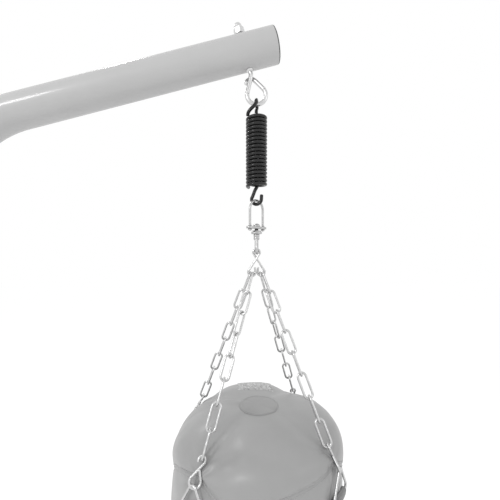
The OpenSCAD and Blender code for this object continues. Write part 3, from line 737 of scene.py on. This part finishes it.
def spring():
    """The wound coil, stretched between its two ends, and the hook at each end."""
    wire_r, coil_r, coils = 3.2 * MM, 16.6 * MM, 19
    top, low = highest("spring_coil")[2], lowest("spring_coil")[2]
    pitch = (top - low - 2 * wire_r) / coils
    turn = np.arange(0, coils * 40 + 1) / 40 * 2 * math.pi
    z = low + wire_r + turn / (2 * math.pi) * pitch
    phase = math.radians(150)
    path = np.stack([coil_r * np.cos(turn + phase), coil_r * np.sin(turn + phase), z], 1)
    coil = wire_piece("spring_coil_wound", path, wire_r, sides=16)
    paint(coil, "spring_black")
    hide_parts("spring_coil")
    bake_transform(coil)

    r = 9.0 * MM
    loop_z = highest("spring_upper_hook")[2] - wire_r - r
    points = [(x, y, top + z) for x, y, z in mm(
        (-16.102, -3.5, -2.6), (-15.438, -6, 1.5), (-11.2, -8.6, 7), (-5.2, -9.6, 12.5))]
    points += [(-1.2 * MM * math.cos(a), -r * math.cos(a), loop_z + r * math.sin(a))
               for a in np.radians(range(0, 191, 19))]
    points += [(x, y, top + z) for x, y, z in mm((0, 6.6, 11), (0, 4, 4), (0.5, 2, -3))]
    hook = wire_piece("spring_upper_hook_bent", smooth_path(points, 1.2 * MM), wire_r)
    finish_piece(hook, "spring_top", "spring_black", ["spring_upper_hook"])

    r = 9.15 * MM
    loop_z = lowest("spring_lower_hook")[2] + wire_r + r
    points = [(x, y, low + z) for x, y, z in mm((2, 1, 5), (0, 0, 1), (-3.4, 0, -5))]
    points += arc((0, 0, loop_z), r, 142, 360, 14)
    points.append((r + 0.4 * MM, 0, loop_z + 7 * MM))
    path = placed(smooth_path(points, 1.0 * MM), spun("z", -15))
    hook = wire_piece("spring_lower_hook_bent", path, wire_r)
    finish_piece(hook, "spring_bottom", "spring_black", ["spring_lower_hook"])


# ---------- swivel ----------

def rounded_bar(name, length, width, thick, edge, matrix, origin):
    """A flat bar with round ends and broken edges."""
    half, r = length / 2 - width / 2, width / 2
    turn = np.linspace(-math.pi / 2, math.pi / 2, 25)
    outline = np.array([(side * (half + r * math.cos(a)), side * r * math.sin(a))
                        for side in (1, -1) for a in turn])
    inward = outline / np.linalg.norm(outline, axis=1)[:, None]

    def level(points, share):
        return placed(np.column_stack([points, np.full(len(points), share * thick)]),
                      matrix, origin)

    rings = [level(outline - inward * edge * inset * 3, share) for inset, share in (
        (1.0, 0), (0.3, 0), (0.09, 0.1), (0, 0.35), (0, 0.65), (0.09, 0.9), (0.3, 1.0), (1.0, 1.0))]
    return grid_piece(name, [level(outline * 0, 0)] + rings + [level(outline * 0, 1)])


def swivel():
    """The bow with its upset ends, the bar, the headed stud, the collar and the forged eye."""
    turned = spun("z", 45)
    bar_low, bar_top = lowest("swivel_bar")[2], highest("swivel_bar")[2]
    bow_r, wire_r = 17.5 * MM, 2.2 * MM
    centre_z = highest("swivel_bow")[2] - wire_r - bow_r
    legs = np.linspace(bar_low - 3 * MM, centre_z, 12)
    points = [(bow_r, 0, z) for z in legs[:-1]]
    points += arc((0, 0, centre_z), bow_r, 0, 180, 40)
    points += [(-bow_r, 0, z) for z in legs[-2::-1]]
    parts = [wire_piece("bow", placed(points, turned), wire_r, sides=24)]
    for x in (-bow_r, bow_r):
        at = placed([[x, 0, 0]], turned)[0]
        # the bow's ends are upset under the bar, with a collar above it
        for z0, z1, r in ((bar_low - 3.2 * MM, bar_low - 0.1 * MM, 3.5 * MM),
                          (bar_top + 0.1 * MM, bar_top + 2.4 * MM, 3.3 * MM)):
            edge = 0.7 * MM
            outline = [(0, z0), (r - edge, z0), (r, z0 + edge), (r, z1 - edge), (r - edge, z1),
                       (0, z1)]
            parts.append(lathe("upset", outline, (at[0], at[1], 0), sides=36))
    finish_piece(join("swivel_bow_upset", parts), "swivel_top", "swivel_nickel", ["swivel_bow"])
    bar = rounded_bar("swivel_bar_pressed", 49 * MM, 12 * MM, bar_top - bar_low, 0.4 * MM, turned,
                      (0, 0, bar_low))
    finish_piece(bar, "swivel_top", "swivel_nickel", ["swivel_bar"])

    low = lowest("swivel_stud")[2]
    outline = [(0, low), (3.4 * MM, low), (3.5 * MM, low + 0.5 * MM)]
    outline += [(r, bar_top + z) for r, z in mm(
        (3.5, 0.2), (6.8, 0.2), (7.0, 0.6), (6.6, 2.0), (5.6, 3.6), (4.0, 5.0), (2.2, 5.7),
        (0, 5.95))]
    finish_piece(lathe("swivel_stud_headed", outline, sides=64), "swivel_top", "swivel_nickel",
                 ["swivel_stud"])

    collar_z, collar_top = lowest("swivel_collar")[2], highest("swivel_collar")[2]
    outline = [(r * MM, collar_z + share * (collar_top - collar_z)) for r, share in (
        (3.6, 0), (9.3, 0), (10, 0.12), (10, 0.48), (9.3, 0.6), (8.7, 0.63), (8.5, 0.7),
        (8.5, 0.92), (8.0, 1.0), (3.6, 1.0), (3.6, 0))]
    finish_piece(lathe("swivel_collar_turned", outline, sides=80), "swivel_bottom",
                 "swivel_nickel", ["swivel_collar"])

    loop_r, loop_wire_r = 7.6 * MM, 3.2 * MM
    centre_z = lowest("swivel_eye")[2] + loop_wire_r + loop_r
    neck_low = PIVOT_Z + 33 * MM
    neck = [(r, neck_low + z) for r, z in mm(
        (0, 0), (3.8, 0), (4.8, 0.8), (5.5, 2.5), (5.5, 4.6), (5.0, 5.4), (5.0, 6.2), (5.5, 7))]
    neck += [(r, collar_z - down) for r, down in mm((5.5, 0.6), (5.0, 0.05), (3.6, 0.05))]
    points = [(x, 0, neck_low + z) for x, z in mm((3.0, 1.5), (4.6, -4))]
    points += arc((0, 0, centre_z), loop_r, 12, -192, 24)
    points += [(x, 0, neck_low + z) for x, z in mm((-4.6, -4), (-3.0, 1.5))]
    path = placed(smooth_path(points, 0.9 * MM), spun("z", 90))
    parts = [lathe("neck", neck, sides=64), wire_piece("eye", path, loop_wire_r, sides=24)]
    finish_piece(join("swivel_eye_forged", parts), "swivel_bottom", "swivel_nickel",
                 ["swivel_eye"])


# ---------- hooks, chains and rings ----------

HOOK_R = 2.0 * MM
FIT = 0.15 * MM
CHAIN_ANGLE = math.radians(25.2)
SIDE_OF = (1, 1, -1, -1)
QUARTER_TWIST = (False, True, False, True)
LOW_HOOK_TURN = (90, 0, 90, 0)
TOP_HOOK_LOW = np.array([10.2 * MM, 0, PIVOT_Z - 32.6 * MM])
RING_R = BAG_R + 6.5 * MM
RING_TOP = PIVOT_Z - 322 * MM
LINKS = 8
PITCH = 36 * MM


def s_path(top_r, low_r, span, top_end, tail):
    """An S-hook's centre line, its upper loop centred on the origin."""
    a = math.asin((top_r + low_r) / span)
    lean = math.degrees(a)
    low = np.array([0, 0, -span])
    points = arc((0, 0, 0), top_r, -top_end, 180 + lean, 20)
    points += arc(low, low_r, lean, -180 - lean, 24)
    end = low + low_r * np.array([-math.cos(a), 0, math.sin(a)])
    points.append(end + tail * np.array([math.sin(a), 0, math.cos(a)]))
    return smooth_path(points, 0.8 * MM)


def towards(a, b):
    """The matrix that hangs -Z along the line from a to b, and that line's compass turn."""
    d = np.asarray(a) - np.asarray(b)
    tilt = math.degrees(math.acos(d[2] / np.linalg.norm(d)))
    turn = math.degrees(math.atan2(d[1], d[0]))
    return spun("z", turn) @ spun("y", tilt), turn


def chain_from(i):
    """Where a chain starts, beside its upper S-hook."""
    s = SIDE_OF[i]
    aside, rise = (-3, 3.8) if QUARTER_TWIST[i] else (1.5, 4.4)
    return np.array([s * (TOP_HOOK_LOW[0] + aside * MM), s * (HOOK_R + FIT),
                     TOP_HOOK_LOW[2] + rise * MM])


def chain_to(i):
    """Where a chain ends, on its lower S-hook."""
    a = math.radians(CHAIN_TURN[CHAINS[i]])
    r = 9 * PITCH * math.sin(CHAIN_ANGLE)
    return np.array([r * math.cos(a), r * math.sin(a), PIVOT_Z - 9 * PITCH * math.cos(CHAIN_ANGLE)])


def link_path(inner):
    """A long oval link, its upper inner end at the origin, starting beside its weld."""
    bow = 7.0 * MM
    top, low = -(bow - HOOK_R), -(inner - (bow - HOOK_R))
    points = [(bow, 0, z) for z in np.linspace((top + low) / 2, top, 10)[:-1]]
    points += arc((0, 0, top), bow, 0, 180, 18)[:-1]
    points += [(-bow, 0, z) for z in np.linspace(top, low, 18)[:-1]]
    points += arc((0, 0, low), bow, 180, 360, 18)[:-1]
    points += [(bow, 0, z) for z in np.linspace(low, (top + low) / 2, 10)[:-1]]
    return np.array(points)


def chains():
    for i, name in enumerate(CHAINS):
        a, b = chain_from(i), chain_to(i)
        matrix, turn = towards(a, b)
        pitch = np.linalg.norm(a - b) / LINKS
        parts = []
        for k in range(LINKS):
            width = 90 + 90 * k - (22.5 * min(k, 4) if QUARTER_TWIST[i] else 0)
            path = link_path(pitch + 2 * FIT)
            local = placed(path, spun("z", width - turn), (0, 0, -k * pitch + FIT))
            n = len(path)
            # the butt weld's flash stands proud on one side of each link
            parts.append(wire_piece(
                f"{name}_{k}", placed(local, matrix, a), HOOK_R, closed=True, sides=18,
                swell=lambda j, n=n: 1 + 0.12 * math.exp(-(min(j, n - j) / 1.3) ** 2)))
        finish_piece(join(name + "_chain_links", parts), "bag", "chain_zinc", [name + "_chain"])


def hooks():
    for name, side in (("right", 1), ("left", -1)):
        start = np.array([0, side * (HOOK_R + FIT), PIVOT_Z + 17.6 * MM - 7 * MM])
        d = TOP_HOOK_LOW - np.array([0, 0, start[2]])
        span = np.linalg.norm(d) - 6.6 * MM
        lean = math.degrees(math.atan2(d[0], -d[2]))
        path = placed(s_path(6 * MM, 6.6 * MM, span, 10, 8 * MM), spun("y", -lean))
        path[:, 0] *= side
        piece = wire_piece(name + "_top_s_hook_bent", path + start, HOOK_R)
        finish_piece(piece, "bag", "chain_zinc", [name + "_top_s_hook"])
    for i, name in enumerate(CHAINS):
        turn = math.radians(CHAIN_TURN[name])
        a = chain_to(i)
        b = np.array([RING_R * math.cos(turn), RING_R * math.sin(turn), RING_TOP - 4.2 * MM])
        matrix, az = towards(a, b)
        span = np.linalg.norm(a - b) - 5.2 * MM + HOOK_R - 8.2 * MM
        path = s_path(5.2 * MM, 8.2 * MM, span, 30, 12 * MM) + np.array([0, 0, HOOK_R - 5.2 * MM])
        if LOW_HOOK_TURN[i] == 0:
            path[:, 0] *= -1
        local = placed(path, spun("z", LOW_HOOK_TURN[i] - az))
        piece = wire_piece(name + "_s_hook_bent", placed(local, matrix, a), HOOK_R)
        finish_piece(piece, "bag", "chain_zinc", [name + "_s_hook"])


def rings():
    """Triangular rings, welded in one side."""
    half, tip, corner = 19 * MM, 32 * MM, 6 * MM
    slope = math.degrees(math.atan2(tip, half))
    for name in CHAINS:
        points = arc((0, 0, 0), corner, 90 - slope, 90 + slope, 12)
        points += arc((-half, 0, -tip), corner, 90 + slope, 270, 10)
        points += [(x, 0, -tip - corner) for x in np.linspace(-half, half, 14)[1:-1]]
        points += arc((half, 0, -tip), corner, -90, 90 - slope, 10)
        dense = smooth_path(points, 1.6 * MM, closed=True)
        local = placed(dense, spun("z", 90), (RING_R, 0, RING_TOP - corner))
        weld_at = int(len(dense) * 0.55)
        piece = wire_piece(name + "_ring_bent", placed(local, spun("z", CHAIN_TURN[name])), HOOK_R,
                           closed=True, sides=20,
                           swell=lambda j: 1 + 0.1 * math.exp(-((j - weld_at) / 1.2) ** 2))
        finish_piece(piece, "bag", "chain_zinc", [name + "_ring"])


# ---------- the bag ----------

STRAP_SEAM = PIVOT_Z - 317 * MM
# how far the top seam hangs below the pivot, in millimetres, at compass angles
SEAM_DROP = {-38: 317, -25: 335, -10: 360, 5: 376, 20: 366, 35: 340, 52: 317, 70: 335,
             97: 350, 124: 335, 142: 317, 155: 340, 168: 368, 180: 386, 192: 360, 206: 334,
             220: 321, 232: 317, 243: 334, 252: 342, 264: 339, 276: 330, 288: 322, 306: 319}
COLS = 480


def seam_table():
    """The seam's drop at every degree, smoothed all the way round."""
    knots = np.array(sorted(SEAM_DROP.items()), float)
    around = np.arange(360.0)
    drop = np.interp(around, knots[:, 0], knots[:, 1], period=360)
    taps = np.arange(-9, 10)
    weights = np.exp(-(taps / 3.5) ** 2)
    return sum(w * np.roll(drop, t) for t, w in zip(taps, weights)) / weights.sum()


SEAM_AROUND = seam_table()


def away_from(turn, at):
    """Degrees between compass angles."""
    return np.abs((turn - at + 180) % 360 - 180)


def seam_shape(turn):
    """For compass angles in degrees: lobe share, strap distance, seam height and widest height."""
    m = np.sin(np.radians(2 * (turn + 38))) ** 2
    nearest = np.min([away_from(turn, a) for a in CHAIN_TURN.values()], axis=0)
    drop = np.interp(turn, np.arange(360.0), SEAM_AROUND, period=360)
    seam = PIVOT_Z - drop * MM
    widest = seam + 4 * MM + 0.3 * (STRAP_SEAM - seam) + 6 * MM * m ** 2
    return m, nearest, seam, widest


def rim(turn):
    """The bag's widest radius at compass angles."""
    m, nearest = seam_shape(turn)[:2]
    right_lobe = np.exp(-(away_from(turn, 4) / 26) ** 2)
    left_lobe = np.exp(-(away_from(turn, 186) / 30) ** 2)
    return BAG_R + (-2.6 + 3.4 * m ** 0.7 - 3.0 * np.exp(-(nearest / 9) ** 2)
                    + 5.6 * right_lobe - 1.6 * left_lobe) * MM


def crown_z(r, turn, inset=0.0):
    """Height of the crown at a radius and compass angle."""
    _, nearest, _, widest = seam_shape(turn)
    big = rim(turn) - inset
    rise = CROWN_Z - inset - widest
    share = np.clip(r / big, 0, 1)
    pinch = np.exp(-(nearest / 17) ** 2)
    slack = np.exp(-(away_from(turn, 178) / 34) ** 2)
    power = 3.7 - 1.3 * pinch - 0.4 * slack
    soft = 0.42 + 0.34 * pinch + 0.07 * slack
    return widest + rise * np.clip(1 - share ** power, 0, 1) ** soft


def soft_noise(points, scale, seed):
    """Smooth noise for a grid of points."""
    return np.array([noise.noise(Vector(p) * scale + Vector((seed, 2.1 * seed, -seed)))
                     for p in points.reshape(-1, 3)]).reshape(points.shape[:2])


def unevenness(grid):
    """Broad and fine lumps of the filled cloth."""
    return soft_noise(grid, 14, 3.0) * 1.5 * MM + soft_noise(grid, 38, 7.0) * 0.45 * MM


def outward(grid):
    """Unit normals of a grid of rings, pointing away from the bag's inside."""
    du = np.roll(grid, -1, 1) - np.roll(grid, 1, 1)
    dv = np.gradient(grid, axis=0)
    n = np.cross(dv, du)
    length = np.linalg.norm(n, axis=2)[..., None]
    n = n / np.maximum(length, 1e-12)
    away = grid - np.array([0, 0, (SEAM_Z + BAG_FOOT_Z) / 2])
    return n * np.sign(np.sum(n * away, 2))[..., None]


def creases(grid, seam_z, above):
    """Tension folds that fan out from each strap, and puckers along the seam."""
    turn = np.degrees(np.arctan2(grid[..., 1], grid[..., 0]))
    out = np.zeros(grid.shape[:2])
    for n, at in enumerate(CHAIN_TURN.values()):
        a = math.radians(at)
        point = np.array([148 * MM * math.cos(a), 148 * MM * math.sin(a), STRAP_SEAM])
        d = grid - point
        across = d @ np.array([-math.sin(a), math.cos(a), 0])
        inward = -d @ np.array([math.cos(a), math.sin(a), 0])
        along = np.sign(above) * np.hypot(np.maximum(inward, 0), d[..., 2])
        span = np.hypot(across, along)
        angle = np.arctan2(across, along if above > 0 else -along)
        folds = np.cos(7 * angle + 0.9 * n) + 0.5 * np.cos(11 * angle - 1.7 * n)
        reach = 40 * MM if above > 0 else 52 * MM
        out += (1.7 * MM if above > 0 else 2.6 * MM) * folds * np.exp(-span / reach) \
            * (1 - np.exp(-(span / (9 * MM)) ** 2)) * np.clip(np.cos(angle) + 0.25, 0, 1)
    run = np.radians(turn) * BAG_R / MM
    gap = np.abs(grid[..., 2] - seam_z) / MM
    pucker = np.sin(run / 2.05) + 0.7 * np.sin(run / 1.37 + 1.3) + 0.6 * np.sin(run / 3.1 - 0.6)
    out += 0.2 * MM * pucker * np.exp(-gap / 7)
    if above > 0:
        for start, end, wide, high in (((-62, -118), (-40, -126), 4.5, 1.8),
                                       ((-112, -84), (-132, -46), 7, 1.5),
                                       ((118, -62), (143, -12), 6, 1.6)):
            out += ridge(grid, *mm(start, end), wide * MM, high * MM)
    return out


def ridge(grid, start, end, wide, high):
    """A soft raised fold over the straight line between two places seen from above."""
    start, end = np.array(start), np.array(end)
    line = end - start
    t = np.clip((grid[..., :2] - start) @ line / (line @ line), 0, 1)
    gap = np.linalg.norm(grid[..., :2] - (start + t[..., None] * line), axis=-1)
    return high * np.exp(-(gap / wide) ** 2) * np.sin(math.pi * (0.12 + 0.76 * t))


def ring_of(r, z, turn):
    a = np.radians(turn)
    return np.stack([r * np.cos(a), r * np.sin(a), z + 0 * a], -1)


def bag_shapes(inset=0.0, cols=COLS, fine=1.0):
    """Rings of the top panel, the side wall and the bottom panel."""
    turn = np.arange(cols) * 360 / cols
    m, _, seam, widest = seam_shape(turn)
    big = rim(turn) - inset
    tuck_r = big - (1.6 + 2.4 * m) * MM
    top = []
    for t in np.linspace(0.004, 1, int(84 * fine)):
        r = big * math.sin(math.pi / 2 * t)
        top.append(ring_of(r, crown_z(r, turn, inset), turn))
    for t in np.linspace(0, 1, 12)[1:]:
        a = t * math.pi / 2
        r = big - (big - tuck_r) * (1 - math.cos(a))
        top.append(ring_of(r, widest + (seam - widest) * math.sin(a) ** 1.2, turn))
    foot = BAG_FOOT_Z
    wall_r = BAG_R - 0.4 * MM - inset
    wall = []
    steps = np.concatenate([np.linspace(0, 0.2, int(90 * fine)),
                            np.linspace(0.2, 0.93, int(120 * fine))[1:],
                            np.linspace(0.93, 1, int(34 * fine))[1:]])
    for t in steps:
        z = seam + (foot - seam) * t
        below, above = seam - z, z - foot
        out = np.exp(-below / (11 * MM))
        hem = np.exp(-above / (9 * MM))
        swell = (0.5 + 1.2 * m) * MM * (below / (46 * MM)) * np.exp(1 - below / (46 * MM))
        r = wall_r + (tuck_r - wall_r) * out + swell - 3.2 * MM * hem \
            + 0.8 * MM * math.sin(math.pi * t) * t
        wall.append(ring_of(r, z, turn))
    low = []
    drop = BAG_FOOT_Z - BASE_Z
    foot_r = wall_r - 3.2 * MM
    for t in np.linspace(1, 0.004, int(60 * fine)):
        r = foot_r * math.sin(math.pi / 2 * t)
        z = foot - drop * (1 - (r / foot_r) ** 4) ** 0.45 + inset
        low.append(ring_of(r + 0 * turn, z + 0 * turn, turn))
    return [np.array(g) for g in (top, wall, low)], seam


def draped(grid, seam, above):
    """Adds folds, puckers and unevenness to a panel; fades them out at its seam."""
    normal = outward(grid)
    lumps = unevenness(grid)
    fade = 1 - np.exp(-np.abs(grid[..., 2] - seam[None, :]) / (5 * MM))
    out = creases(grid, seam[None, :], above) + lumps * fade
    if above > 0:
        # the crown is smoother near its middle
        out = out * np.clip(np.hypot(grid[..., 0], grid[..., 1]) / (60 * MM), 0.15, 1)
    return grid + normal * out[..., None]


def stitches(name, path, step, length, thick, normals, body, slot_name="patch_vinyl"):
    """A row of raised thread stitches laid along a path."""
    path = np.asarray(path, float)
    gaps = np.linalg.norm(np.diff(path, axis=0), axis=1)
    run = np.concatenate([[0], np.cumsum(gaps)])
    verts, faces = [], []
    count = int(run[-1] / step)
    for k in range(count):
        ends = []
        for s in (k * step, k * step + length * 0.25, k * step + length * 0.75, k * step + length):
            i = min(np.searchsorted(run, s, "right") - 1, len(path) - 2)
            w = (s - run[i]) / max(gaps[i], 1e-9)
            ends.append((path[i] * (1 - w) + path[i + 1] * w,
                         normals[i] * (1 - w) + normals[i + 1] * w))
        along = ends[-1][0] - ends[0][0]
        along /= np.linalg.norm(along)
        base = len(verts)
        for (p, n), lift, size in zip(ends, (-0.5, 0.35, 0.35, -0.5), (0.6, 1, 1, 0.6)):
            across = np.cross(along, n)
            for j in range(6):
                a = j * math.pi / 3
                verts.append(p + n * thick * (lift + size * math.sin(a) * 0.5)
                             + across * thick * 0.5 * size * math.cos(a))
        for q in range(3):
            for j in range(6):
                a, b = base + q * 6 + j, base + q * 6 + (j + 1) % 6
                faces.append((a, b, b + 6, a + 6))
        faces.append(tuple(base + j for j in range(5, -1, -1)))
        faces.append(tuple(base + 18 + j for j in range(6)))
    piece = mesh_piece(name, verts, faces)
    return finish_piece(piece, body, slot_name, material="thread")


def closed_row(grid_row):
    """A ring of points with its first point repeated at the end."""
    return np.vstack([grid_row, grid_row[:1]])


def bag():
    (top, wall, low), seam = bag_shapes()
    top = draped(top, seam, 1)
    wall = draped(wall, seam, -1)
    # both panels meet exactly along the top seam and turn in under it
    edge = (top[-1] + wall[0]) / 2
    inner = edge * np.array([0.975, 0.975, 1])
    top[-1], wall[0] = edge, edge
    wall[-1], low[0] = (wall[-1] + low[0]) / 2, (wall[-1] + low[0]) / 2
    wall[-1][:, 2] = low[0][:, 2] = BAG_FOOT_Z
    hem_inner = low[0] * np.array([0.975, 0.975, 1])
    lumps = soft_noise(low, 16, 5.0) * 1.2 * MM
    lumps *= np.linspace(0, 1, len(low))[:, None] ** 0.5
    low = low + outward(low) * lumps[..., None]
    low[..., 2] = np.maximum(low[..., 2], BASE_Z)
    normal_top, normal_wall = outward(top), outward(wall)

    pieces = [
        grid_piece("bag_top_panel_filled", np.vstack([top, inner[None]])),
        grid_piece("bag_side_wall_filled", np.vstack([inner[None], wall, hem_inner[None]])),
        grid_piece("bag_bottom_panel_filled", np.vstack([hem_inner[None], low])),
    ]
    for piece, node in zip(pieces, ("bag_top_panel", "bag_side_wall", "bag_bottom_panel")):
        finish_piece(piece, "bag", "bag_vinyl", [node])
    (t2, w2, l2), _ = bag_shapes(7 * MM, 96, 0.3)
    filling = grid_piece("bag_filling_packed", np.vstack([t2, w2[1:], l2[1:]]))
    finish_piece(filling, "bag", "filling", ["bag_filling"])

    # piping in both seams, a row of stitches above and below the top seam, and one above the foot
    # seam
    for name, row in (("top_piping", edge), ("foot_piping", wall[-1])):
        rr = np.hypot(row[:, 0], row[:, 1])[:, None]
        line = row + np.column_stack([row[:, :2] / rr * 0.5 * MM, 0 * row[:, 0]])
        cord = wire_piece("bag_" + name, line[::2], 1.25 * MM, closed=True, sides=12)
        finish_piece(cord, "bag", "bag_vinyl")
    rows = {"top_stitches_upper": (top, normal_top, -5),
            "top_stitches_lower": (wall, normal_wall, 3),
            "foot_stitches": (wall, normal_wall, -5)}
    for name, (grid, normal, row) in rows.items():
        stitches("bag_" + name, closed_row(grid[row]), 4.2 * MM, 3.1 * MM, 0.75 * MM,
                 closed_row(normal[row]), "bag")


def on_crown(xy, lift):
    """Points on the crown's surface above given x, y, lifted off it."""
    xy = np.asarray(xy, float)
    r = np.hypot(xy[..., 0], xy[..., 1])
    turn = np.degrees(np.arctan2(xy[..., 1], xy[..., 0]))
    z = crown_z(r, turn)
    flat = np.concatenate([xy, z[..., None]], -1)
    flat[..., 2] += unevenness(flat) * np.clip(r / (60 * MM), 0.15, 1) + lift
    return flat


PATCH_MIDDLE = np.array([4, -2]) * MM


def label_curl(share):
    """How far the label lifts off the crown, in millimetres, from its front edge to its back."""
    return 1.2 * share ** 1.6


def circle(radius, turns):
    return radius * np.stack([np.cos(turns), np.sin(turns)], -1) + PATCH_MIDDLE


def patches():
    """The round disc and the label on the crown, with their stitches."""
    radius = 36 * MM
    rings = []
    for r, lift in [(0.01, 1.5)] + [(k, 1.5) for k in np.linspace(3, 34, 16)] \
            + [(35.2, 1.35), (35.8, 0.9), (36, 0.2), (36, -2)]:
        rings.append(on_crown(circle(r * MM, around(120))[None], lift * MM)[0])
    piece = grid_piece("bag_top_patch_sewn", rings[::-1])
    finish_piece(piece, "bag", "patch_vinyl", ["bag_top_patch"])
    line = circle(radius - 3.2 * MM, np.linspace(0, 2 * math.pi, 241))
    line = on_crown(line[None], 1.7 * MM)[0]
    up = np.tile([0, 0, 1.0], (len(line), 1))
    stitches("bag_top_patch_stitches", line, 3.6 * MM, 2.6 * MM, 0.7 * MM, up, "bag")

    half = np.array([37.5, 22]) * MM
    centre = np.array([0, 84 * MM])
    gx, gy = np.meshgrid(np.linspace(-1, 1, 60), np.linspace(-1, 1, 36))
    edge = np.minimum((1 - np.abs(gx)) * half[0], (1 - np.abs(gy)) * half[1]) / MM
    lift = (1.2 * np.clip(edge / 0.8, 0, 1) ** 0.5 + label_curl((gy + 1) / 2)) * MM
    xy = np.stack([gx * half[0] + centre[0], gy * half[1] + centre[1]], -1)
    grid = on_crown(xy, lift)
    piece = grid_piece("bag_label_patch_sewn", grid, close_u=False)
    finish_piece(piece, "bag", "patch_vinyl", ["bag_label_patch"], material="label")
    corners = np.array([[-1, -1], [1, -1], [1, 1], [-1, 1], [-1, -1]]) * (half - 2.2 * MM) + centre
    line = np.vstack([np.linspace(p, q, 40)[:-1] for p, q in zip(corners[:-1], corners[1:])])
    curl = label_curl((line[:, 1] - centre[1]) / half[1] / 2 + 0.5)
    line = on_crown(line[None], 0)[0] + np.column_stack([0 * curl, 0 * curl, (1.4 + curl) * MM])
    stitches("bag_label_patch_stitches", line, 3.4 * MM, 2.4 * MM, 0.6 * MM,
             np.tile([0, 0, 1.0], (len(line), 1)), "bag")


def label_material():
    """Plain woven label: blocks of lighter and darker thread that spell nothing."""
    m = Nodes("label", Specular_IOR_Level=0.3)
    blocks = m.add("ShaderNodeTexVoronoi", Scale=620.0, feature="F1", distance="MANHATTAN")
    m.link(m.coords, blocks.inputs["Vector"])
    split = m.maths("ADD", m.maths("MULTIPLY", blocks.outputs["Color"], 0.6),
                    m.maths("MULTIPLY", m.noise(900, 4), 0.4))
    m.colour(split, 0.16, 0.68)
    m.rough(m.noise(300, 3), 0.55, 0.75)
    m.bump((m.wave(900, "X"), 0.3, 0.0002), (split, 0.4, 0.0003))
    return m.mat


def strap_piece(name, turn):
    """Webbing folded round the ring's base, both leaves sewn flat to the wall."""
    half = 18 * MM
    bar_z = RING_TOP - 44 * MM + HOOK_R
    t = 2.2 * MM
    loop_r = HOOK_R + 0.3 * MM + t / 2
    low_z = lowest("front_left_strap")[2]
    line = [(BAG_R + 0.9 * MM + t / 2, z) for z in np.linspace(low_z, bar_z - 14 * MM, 60)]
    line += [(BAG_R + 1.4 * MM + t / 2, bar_z - 9 * MM), (RING_R - loop_r * 0.95, bar_z - 3 * MM)]
    line += [(RING_R + loop_r * math.cos(a), bar_z + loop_r * math.sin(a))
             for a in map(math.radians, range(175, -31, -15))]
    line += [(RING_R + 2.6 * MM, bar_z - 6 * MM), (BAG_R + 5.6 * MM, bar_z - 14 * MM),
             (BAG_R + 1.2 * MM + 1.5 * t, bar_z - 24 * MM)]
    line += [(BAG_R + 1.0 * MM + 1.5 * t, z)
             for z in np.linspace(bar_z - 28 * MM, low_z + 10 * MM, 50)]
    path = np.array(line)
    tangent = np.gradient(path, axis=0)
    tangent /= np.linalg.norm(tangent, axis=1)[:, None]
    out = np.column_stack([-tangent[:, 1], tangent[:, 0]])
    rings = []
    section = [(u, 0.5) for u in np.linspace(-0.97, 0.97, 28)] + [(1, 0.25), (1, -0.25)] \
        + [(u, -0.5) for u in np.linspace(0.97, -0.97, 28)] + [(-1, -0.25), (-1, 0.25)]
    for (r, z), (nr, nz) in zip(path, out):
        ring = []
        for u, v in section:
            bend = BAG_R - math.sqrt(BAG_R ** 2 - (u * half) ** 2)
            ring.append((r + v * t * nr - bend * 0.9, u * half, z + v * t * nz))
        rings.append(ring)
    matrix = spun("z", turn)
    piece = grid_piece(name + "_strap_sewn", [placed(ring, matrix) for ring in rings], caps=True)
    finish_piece(piece, "bag", "strap_webbing", [name + "_strap"])
    outer = BAG_R + 1.0 * MM + 2 * t + 0.1 * MM
    box = 15 * MM
    z0, z1 = low_z + 14 * MM, low_z + 74 * MM
    routes = {"edge": [(-box, z0), (box, z0), (box, z1), (-box, z1), (-box, z0)],
              "cross": [(-box, z0), (box, z1)], "cross2": [(box, z0), (-box, z1)]}
    for tag, points in routes.items():
        dense = np.vstack([np.linspace(p, q, 50) for p, q in zip(points[:-1], points[1:])])
        apart = np.linalg.norm(np.diff(dense, axis=0), axis=1) > 1e-7
        dense = dense[np.concatenate([[True], apart])]
        bend = BAG_R - np.sqrt(BAG_R ** 2 - dense[:, 0] ** 2)
        local = np.column_stack([outer - bend * 0.9, dense[:, 0], dense[:, 1]])
        normal = np.tile([1.0, 0, 0], (len(local), 1))
        stitches(f"{name}_strap_{tag}", placed(local, matrix), 3.6 * MM, 2.8 * MM, 0.8 * MM,
                 placed(normal, matrix), "bag", "strap_webbing")


camera()
studio()
MATERIAL["label"] = label_material()
stand()
eye_bolt()
eye_bolt_fittings()
spring()
swivel()
chains()
hooks()
rings()
bag()
patches()
for strap, strap_turn in CHAIN_TURN.items():
    strap_piece(strap, strap_turn)
